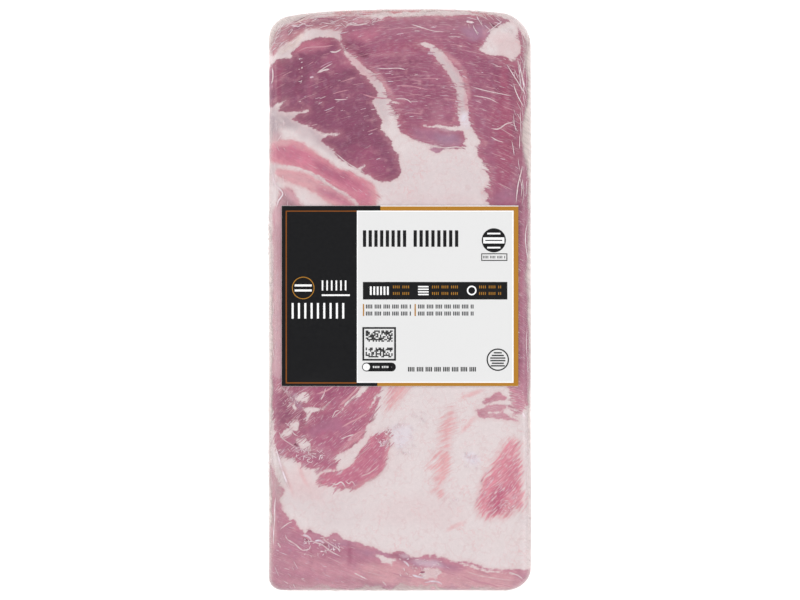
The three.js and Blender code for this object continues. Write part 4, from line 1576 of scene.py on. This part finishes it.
class BELLY_OT_film(bpy.types.Operator):
    """The clear film: tight over the face, wrinkled and milky round the sides and corners, with painted
    highlight and sheen in that milk
    """

    bl_idname = "belly.film"
    bl_label = "Film"

    def execute(self, context):
        sizes, colours = context.scene.belly_sizes, context.scene.belly_colours
        skin = slab_skin(sizes.step / MM)
        x, y, z = skin.place.T
        side = smooth(skin.ring, 0.35, 0.95) * fade(skin.ring, 1.6, 2.0)
        way = round_the_side(x, y)
        ridge = (1 - np.abs(noise(way / 7 + 0.6 * noise(x / 19, y / 19, 4), z / 30, 101))) ** 4
        # the film lies smoother along the right side
        ridge = ridge * smooth(rough(x / 34, y / 34, 103), -0.5, 0.7) * (1 - 0.7 * smooth(x, 100, 125))
        rim = np.minimum.reduce([x - FLAT_X[0], FLAT_X[1] - x, y - FLAT_Y[0], FLAT_Y[1] - y])
        near_rim = fade(rim, 0, RIM_BAND)
        lift = sizes.film_lift / MM + sizes.wrinkle / MM * ridge * side + bridged(skin, 1.5, 1.9)
        lift = lift + 0.12 * near_rim * (1 + rough(x / 6, y / 6, 105))
        # painted sheen and highlight: the sides and wrinkles are milkier partly because the film lies in
        # layers there, and partly to stand for the pale reflection where the sides turn away and light
        # along the wrinkles
        layers = 0.32 * smooth(skin.ring, 0.25, 0.75) + 0.2 * smooth(skin.ring, 0.75, 0.95)
        milk = CLEAR_MILK + 0.04 * near_rim + 0.3 * ridge * side + self.haze(x, y)
        milk = milk + layers * (0.15 + 0.85 * smooth(z / thickness(y), 0.36, 0.46))
        flat = np.zeros(len(x))
        on_side = np.stack([z, way, flat], axis=1)
        on_face = np.stack([way, x - SIDE_TURN * y, flat], axis=1)
        places = skin.place + skin.out * lift[:, None]
        piece = new_piece("vacuum_film", places, skin.faces, film_material(colours))
        store(piece, "milk", np.clip(milk, CLEAR_MILK, 0.8))
        store(piece, "crease_way", np.where((skin.ring < 0.15)[:, None], on_face, on_side))
        return {"FINISHED"}

    def haze(self, x, y):
        """The sum of soft ovals of milkiness, made uneven by a slow warp."""
        east, north = 1.5 * rough(x / 11, y / 11, 106), 5 * rough(x / 11, y / 11, 107)
        return with_ovals(0.0, x + east, y + north, HAZES, 0.35, 1.15)


class BELLY_OT_threads(bpy.types.Operator):
    """Threads of fat and sinew in the lean, and of flesh in the fat beside it, each along the
    fibres where it lies"""

    bl_idname = "belly.threads"
    bl_label = "Threads"

    def execute(self, context):
        colours = context.scene.belly_colours
        named = np.array([open_curve(line.points, DRAWN_PLACES) for line in LINES])
        widths = swelling([line.half for line in LINES], DRAWN_PLACES)
        self.piece("named_threads", named, widths, each_tint(colours, LINES), colours)
        self.fibre_threads(colours)
        self.sinews(colours)
        return {"FINISHED"}

    def fibre_threads(self, colours):
        """Short threads along the fibres: pale ones in the lean, fleshy ones across its edges."""
        rng = np.random.default_rng(11)
        x, y = self.strewn(rng, THREAD_TRIES)
        edge, owner, way, _ = self.fibres_at(x, y)
        slant = np.clip(np.abs(edge_distance(x, y, way, FEELER) - edge) / FEELER, 0, 1)
        clump = smooth(rough(x / 24, y / 24, 140), -0.7, 1.0)
        wanted = each_lean("flecks")[owner] * clump * 0.3 * calm(x, y)
        fray = (each_lean("fray") * (each_lean("soft") < 1.5))[owner] * slant
        draw = rng.random(len(x))
        in_lean = (edge > 0.8) & (draw < wanted)
        at_edge = (edge > -0.35 * fray) & (edge < 0.6 * fray) & (fray > 3) & (draw < 0.6)
        flesh = at_edge & (edge < 0.1 * fray)
        kept = in_lean | at_edge
        long = rng.gamma(2.2, 1.7, len(x)) + 1.4 + 0.5 * fray * at_edge
        half = rng.uniform(0.14, 0.36, len(x)) * (1 + 0.5 * at_edge)
        turn = way + rng.normal(0, 0.12, len(x))
        lines = bent_lines(x, y, turn, long, rng.normal(0, 0.12, len(x)), THREAD_PLACES)
        own = each_tint(colours, LEANS)[owner]
        pale = self.drawn_tints(rng, (colours.fat, colours.pale_lean, colours.cool_fat), len(x))
        pale = np.where(flesh[:, None], 0.35 * own + 0.65 * np.array(colours.rosy_fat), pale)
        tint = mixed(pale, own, rng.uniform(0.1, 0.75, (len(x), 1)))
        widths = swelling(half, THREAD_PLACES)
        self.piece("fibre_threads", lines[kept], widths[kept], tint[kept], colours)

    def sinews(self, colours):
        """Long faint lines that bend with the fibres."""
        rng = np.random.default_rng(12)
        x, y = self.strewn(rng, SINEW_TRIES)
        edge, owner, way, bends = self.fibres_at(x, y)
        wanted = np.array([SINEWS.get(lean.tint, FEW_SINEWS) for lean in LEANS])[owner]
        kept = (edge > 1.5) & (rng.random(len(x)) < wanted * calm(x, y))
        long = rng.uniform(7, 24, len(x))
        half = rng.uniform(0.16, 0.45, len(x))
        turn = way + rng.normal(0, 0.07, len(x))
        bend = bends * long / 2 + rng.normal(0, 0.04, len(x))
        lines = bent_lines(x, y, turn, long, bend, SINEW_PLACES)
        own = each_tint(colours, LEANS)[owner]
        pale = self.drawn_tints(rng, (colours.pale_lean, colours.rose_lean, colours.rosy_fat), len(x))
        tint = mixed(pale, own, rng.uniform(0.35, 0.85, (len(x), 1)))
        widths = swelling(half, SINEW_PLACES)
        self.piece("sinews", lines[kept], widths[kept], tint[kept], colours)

    def strewn(self, rng, count):
        """Random places over the lean face and a little past the flats' rectangle."""
        x = rng.uniform(FLAT_X[0] - 4, FLAT_X[1] + 4, count)
        return x, rng.uniform(FLAT_Y[0] - 2, FLAT_Y[1] + 4, count)

    def drawn_tints(self, rng, tints, count):
        """A random one of the tints for each thread."""
        return np.array(tints)[rng.integers(0, len(tints), count)]

    def fibres_at(self, x, y):
        """Distance into the lean, the patch, and the way and bend of its fibres."""
        depth, over, _ = lean_depths(x, y)
        owner = depth.argmax(axis=0)
        dx, dy, turns, bends = fibre_run(x, y, owner)
        way = turns + bends * (dx * np.cos(turns) + dy * np.sin(turns))
        return np.minimum(depth.max(axis=0), -over), owner, way, bends

    def piece(self, name, lines, widths, tints, colours):
        """One piece of ridges with a colour for each line."""
        places, faces = ridges(lines, widths, *THREAD_LEVELS)
        piece = new_piece(name, places, faces, thread_material(colours), smoothed=False)
        inner = (lines.shape[1] - 2) * 4
        spread = np.concatenate([np.repeat(tints, inner, axis=0), np.repeat(tints, 2, axis=0)])
        store(piece, "tint", with_alpha(spread))


class BELLY_OT_creases(bpy.types.Operator):
    """Thin white creases that stand up from the film, most of them near its edges; their white is partly
    painted highlight
    """

    bl_idname = "belly.creases"
    bl_label = "Film creases"

    def execute(self, context):
        look = crease_material(context.scene.belly_colours)
        rng = np.random.default_rng(23)
        lines = [open_curve(points, DRAWN_PLACES) for points, _ in CREASES]
        widths = list(swelling([half for _, half in CREASES], DRAWN_PLACES))
        for zone in CREASE_ZONES:
            x = rng.uniform(*zone.across, zone.count)
            y = rng.uniform(*zone.up, zone.count)
            turn = np.radians(rng.normal(zone.turn, zone.spread, zone.count))
            long = rng.uniform(zone.long / 3, zone.long, zone.count)
            bend = rng.normal(0, 0.12, zone.count)
            lines += list(bent_lines(x, y, turn, long, bend, DRAWN_PLACES))
            widths += list(swelling(rng.uniform(0.12, zone.half, zone.count), DRAWN_PLACES))
        places, faces = ridges(np.array(lines), np.array(widths), *CREASE_LEVELS)
        new_piece("film_creases", places, faces, look, smoothed=False)
        return {"FINISHED"}


# ---- the label and its print ----


def plate(xs, ys, low, high, around=False):
    """A closed thin plate over a grid of places: an upper side, a lower side and the edges
    between them. Where the grid runs around, its last column meets its first."""
    rows, columns = xs.shape
    base = upper_height(xs, ys).ravel()
    plan = np.stack([xs.ravel(), ys.ravel()], axis=1)
    places = np.concatenate([np.column_stack([plan, base + high]), np.column_stack([plan, base + low])])
    number = np.arange(rows * columns).reshape(rows, columns)
    if around:
        number = np.concatenate([number, number[:, :1]], axis=1)
        edges = [number[0], number[-1, ::-1]]
    else:
        rim = grid_rim(number)
        edges = [np.append(rim, rim[0])]
    faces = [grid_faces(number), grid_faces(number)[:, ::-1] + rows * columns]
    for edge in edges:
        below = edge + rows * columns
        faces.append(np.stack([below[:-1], below[1:], edge[1:], edge[:-1]], axis=1))
    return places, np.concatenate(faces)


def bar(left, right, head, foot, low, high, step=3.0):
    """A rectangle of print. Left and right are measured from the label's left edge, and head
    and foot down from the label's head."""
    x0, x1 = LABEL_LEFT + left, LABEL_LEFT + right
    y0, y1 = LABEL_HEAD - foot, LABEL_HEAD - head
    columns = max(2, math.ceil((x1 - x0) / step) + 1)
    rows = max(2, math.ceil((y1 - y0) / step) + 1)
    xs, ys = np.meshgrid(np.linspace(x0, x1, columns), np.linspace(y0, y1, rows))
    return plate(xs, ys, low, high)


def hoop(across, down, inner, outer, low, high, sides=64):
    """A ring of print, or a disc where inner is nearly nothing."""
    angle = np.linspace(0, 2 * math.pi, sides, endpoint=False)
    radius = np.linspace(outer, inner, max(2, math.ceil((outer - inner) / 3) + 1))
    xs = LABEL_LEFT + across + radius[:, None] * np.cos(angle)
    ys = LABEL_HEAD - down + radius[:, None] * np.sin(angle)
    return plate(xs, ys, low, high, around=True)


def joined(shapes):
    """Several closed plates as one set of places and faces."""
    places, faces, first = [], [], 0
    for place, face in shapes:
        places.append(place)
        faces.append(face + first)
        first += len(place)
    return np.concatenate(places), [np.concatenate(faces)]


def rectangle(left, right, head, foot, line, low, high):
    """Four bars round a rectangle."""
    return [bar(left, right, foot - line, foot, low, high),
            bar(left, right, head, head + line, low, high),
            bar(left, left + line, head + line, foot - line, low, high),
            bar(right - line, right, head + line, foot - line, low, high)]


def uprights(left, right, head, foot, width, pitch, high):
    """A row of evenly spaced upright bars of print; every fifth one is left out of fine rows."""
    starts = [x for k, x in enumerate(np.arange(left, right - width, pitch)) if k % 5 != 4 or pitch > 3]
    return [bar(x, x + width, head, foot, high - INK, high, 8.0) for x in starts]


def gold_marks(high):
    """Gold ticks, small gold lines in the dark bar and a plain ring on the dark field."""
    low = high - INK
    marks = [bar(x, x + 1.3, 98, 110, low, high) for x in (81, 132.5)]
    for start, end in ((111, 129), (150, 178), (197, 220)):
        for line in (81, 87.5):
            marks += uprights(start, end, line - 1.4, line + 1.4, 0.8, 1.9, high)
    marks.append(hoop(21.5, 82, 10.4, 11.2, low, high))
    return marks


def dark_marks(high):
    """The heading's uprights, the dark bar, the code square, the pill and the round marks."""
    low = high - INK
    marks = uprights(81, 124.5, 24.5, 41, 3.3, 5.7, high)
    marks += uprights(131.5, 177, 24.5, 41, 3.3, 5.9, high)
    marks.append(bar(81, 225, 76, 93.5, low, high))
    marks.append(hoop(211.5, 34.5, 0.3, 12, low, high))
    marks += rectangle(199, 225, 47.5, 55, 0.9, low, high)
    marks += uprights(201, 223, 50, 52.5, 0.7, 1.4, high)
    marks.append(hoop(215.5, 153.5, 9.9, 11.2, low, high))
    marks += [bar(215.5 - half, 215.5 + half, y, y + 1.3, low, high) for y, half in (
        (146, 4), (148.6, 6), (151.2, 7.5), (153.8, 7.5), (156.4, 6), (159, 7))]
    marks += code_square(80.5, 154.5, 33.5, low, high)
    marks.append(bar(84.5, 109.5, 156.4, 165.2, low, high))
    marks += [hoop(x, 160.8, 0.3, 4.4, low, high) for x in (84.5, 109.5)]
    marks += uprights(126, 196, 160.8, 165.3, 1.15, 1.75, high)
    return marks


def code_square(left, foot, side, low, high):
    """A square frame round a seeded draw of small blocks, with a bare stripe across."""
    marks = rectangle(left, left + side, foot - side, foot, 1.8, low, high)
    cells, margin = 19, 3.25
    cell = (side - 2 * margin) / cells
    filled = np.random.default_rng(5).random((cells, cells)) < 0.6
    filled[7:11] = False
    for row, column in zip(*np.nonzero(filled)):
        x, y = left + margin + column * cell, foot - margin - row * cell
        marks.append(bar(x, x + cell * 0.95, y - cell * 0.95, y, low, high))
    return marks


def white_marks(high):
    """White uprights and lines on the dark field, and marks in the dark bar and the pill."""
    low = high - 0.1
    marks = uprights(40, 68, 74.5, 84.5, 1.5, 4.6, high)
    marks.append(bar(40, 68, 88.4, 90, low, high))
    marks += uprights(10, 68, 97, 112.5, 2.0, 6.3, high)
    marks += uprights(88, 108, 80.5, 89, 1.8, 3.4, high)
    marks += [bar(13, 30, y, y + 2, low, high) for y in (78.5, 83.5)]
    marks += [bar(136, 146.5, y, y + 1.4, low, high) for y in (80, 82.6, 85.2, 87.8)]
    marks.append(hoop(189.5, 84.5, 3.4, 4.8, low, high))
    marks.append(hoop(84.5, 160.8, 0.3, 3.5, low, high))
    marks += uprights(91, 108, 159.8, 161.8, 0.9, 1.8, high)
    marks.append(bar(201, 222, 31.6, 37.6, low, high))
    marks += [bar(205, 218, y, y + 1.6, low, high) for y in (27, 41)]
    return marks


def grey_marks(high):
    """Small print as lines of grey bars."""
    marks = []
    for start, end in ((84, 129), (136, 192)):
        for line in (100.5, 107.5):
            marks += uprights(start, end, line - 2, line + 2, 1.1, 1.75, high)
    marks.append(bar(203, 220, 34, 35.2, high - 0.01, high + 0.08))
    return marks


class BELLY_OT_label(bpy.types.Operator):
    """The label sheet and the fields of print on it"""

    bl_idname = "belly.label"
    bl_label = "Label"

    def execute(self, context):
        sizes, colours = context.scene.belly_sizes, context.scene.belly_colours
        top = sizes.label_lift / MM
        field, panel, ink = top + 0.03, top + 0.06, top + 0.1
        split, step_out, edge = 75, 98.5, 4.8
        head, foot, strip = 4.9, LABEL_HEIGHT - 0.15, 3.3
        sheet = [bar(0, LABEL_WIDTH, 0, LABEL_HEIGHT, top - sizes.label_thickness / MM, top)]
        dark = [bar(0.1, split, 0.15, foot, top, field),
                bar(split, step_out - 3, foot - strip, foot, top, field),
                bar(split, step_out, 0.15, head, top, field)]
        gold = [bar(step_out - 3, LABEL_WIDTH, foot - strip, foot, top, field),
                bar(step_out, LABEL_WIDTH, 0.7, head, top, field),
                bar(LABEL_WIDTH - edge, LABEL_WIDTH, head, foot - strip, top, field)]
        bronze = [bar(4, 5.2, head, foot - 2.6, field, panel),
                  bar(4, split, head, head + 1, field, panel),
                  bar(4, split, foot - 3.8, foot - 2.6, field, panel)]
        pale = [bar(split + 1.1, LABEL_WIDTH - edge - 1.3, head + 1.1, foot - 4.4, top, panel)]
        for name, ink_name, tint, gloss, speckle, shapes, replaced in (
            ("sheet", "label paper", colours.label_white, 0.4, 0.01, sheet, "label"),
            ("dark_field", "dark ink", colours.label_dark, 0.36, 0.03, dark, None),
            ("gold_print", "gold ink", colours.label_gold, 0.3, 0.05, gold + gold_marks(ink + 0.04), None),
            ("bronze_lines", "bronze ink", colours.label_bronze, 0.3, 0.05, bronze, None),
            ("pale_panel", "pale ink", colours.label_pale, 0.42, 0.01, pale, None),
            ("dark_print", "dark print", colours.label_dark, 0.38, 0.02, dark_marks(ink), None),
            ("white_print", "white print", colours.label_white, 0.38, 0.02, white_marks(ink + 0.04), None),
            ("grey_print", "grey print", colours.label_grey, 0.38, 0.02, grey_marks(ink), None),
        ):
            look = ink_material(ink_name, tint, gloss, speckle)
            places, faces = joined(shapes)
            new_piece(f"label_{name}", places, faces, look, replaced, smoothed=False)
        return {"FINISHED"}


# ---- the stage ----


class BELLY_OT_stage(bpy.types.Operator):
    """A pale floor, soft lights and the camera straight above"""

    bl_idname = "belly.stage"
    bl_label = "Stage"

    def execute(self, context):
        scene = context.scene
        floor = self.floor(scene.belly_sizes.floor / 2, scene.belly_colours.floor)
        for name, x, y, size, power in (
            ("left softbox", -1.7, 0.4, 1.5, 21),
            ("right softbox", 1.7, -0.2, 1.5, 21),
            ("shoulder softbox", 0.1, 1.9, 1.3, 10),
            ("flank softbox", 0.0, -1.9, 1.3, 10),
        ):
            light = bpy.data.lights.new(name, "AREA")
            light.energy = power
            light.size = size
            lamp = new_object(name, light)
            lamp.location = (x, y, 1.3)
            lamp.rotation_euler = (-lamp.location).to_track_quat("-Z", "Y").to_euler()
        scene.world = self.studio()
        scene.camera = self.camera(scene.belly_sizes.camera_lens)
        scene.view_settings.view_transform = "Standard"
        return {"FINISHED"}

    def floor(self, half, tint):
        """A faintly glowing square just under the slab."""
        level = -0.0004  # in metres
        corners = [(-half, -half, level), (half, -half, level), (half, half, level), (-half, half, level)]
        mesh = bpy.data.meshes.new("floor")
        mesh.from_pydata(corners, [], [(0, 1, 2, 3)])
        material = ink_material("pale floor", tint, 0.7, 0.004)
        shader = material.node_tree.nodes["Principled BSDF"]
        shader.inputs["Emission Color"].default_value = (1.0, 1.0, 1.0, 1.0)
        shader.inputs["Emission Strength"].default_value = 0.3
        mesh.materials.append(material)
        return new_object("floor", mesh)

    def camera(self, lens):
        """A camera that takes in a picture 0.8 m wide at the height of the slab's widest line."""
        picture_width, sensor_width = 0.8, 36
        data = bpy.data.cameras.new("camera")
        data.lens = lens
        data.sensor_width = sensor_width
        data.clip_end = 100
        camera = new_object("camera", data)
        camera.location = (0, 0, WAIST * thickness(0) * MM + picture_width * lens / sensor_width)
        return camera

    def studio(self):
        """White walls under a dark ceiling, so that nothing bright mirrors in the wet film."""
        world = bpy.data.worlds.new("studio")
        world.use_nodes = True
        tree = world.node_tree
        way = add(tree, "ShaderNodeSeparateXYZ", {0: add(tree, "ShaderNodeTexCoord").outputs["Generated"]})
        strength = ramp(tree, way.outputs[2], 0.72, 0.97, 0.72, 0.1)
        tree.links.new(strength, tree.nodes["Background"].inputs["Strength"])
        tree.nodes["Background"].inputs["Color"].default_value = (1.0, 1.0, 1.0, 1.0)
        return world


# ---- panel, registration and the run ----


class BELLY_PT_panel(bpy.types.Panel):
    """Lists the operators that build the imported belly"""

    bl_idname = "BELLY_PT_panel"
    bl_label = "Packed pork belly"
    bl_space_type = "VIEW_3D"
    bl_region_type = "UI"
    bl_category = "Belly"

    def draw(self, context):
        for step in STEPS:
            self.layout.operator(step.bl_idname)


STEPS = (BELLY_OT_meat, BELLY_OT_threads, BELLY_OT_film, BELLY_OT_creases, BELLY_OT_label, BELLY_OT_stage)
CLASSES = (BellySizes, BellyColours, *STEPS, BELLY_PT_panel)


def register():
    """Registers the classes and the scene's settings."""
    for cls in CLASSES:
        bpy.utils.register_class(cls)
    bpy.types.Scene.belly_sizes = bpy.props.PointerProperty(type=BellySizes)
    bpy.types.Scene.belly_colours = bpy.props.PointerProperty(type=BellyColours)


def unregister():
    """Takes the settings and the classes away again."""
    del bpy.types.Scene.belly_colours
    del bpy.types.Scene.belly_sizes
    for cls in reversed(CLASSES):
        bpy.utils.unregister_class(cls)


def main():
    """Builds every piece."""
    register()
    for step in STEPS:
        group, name = step.bl_idname.split(".")
        getattr(getattr(bpy.ops, group), name)()


if __name__ == "__main__":
    main()
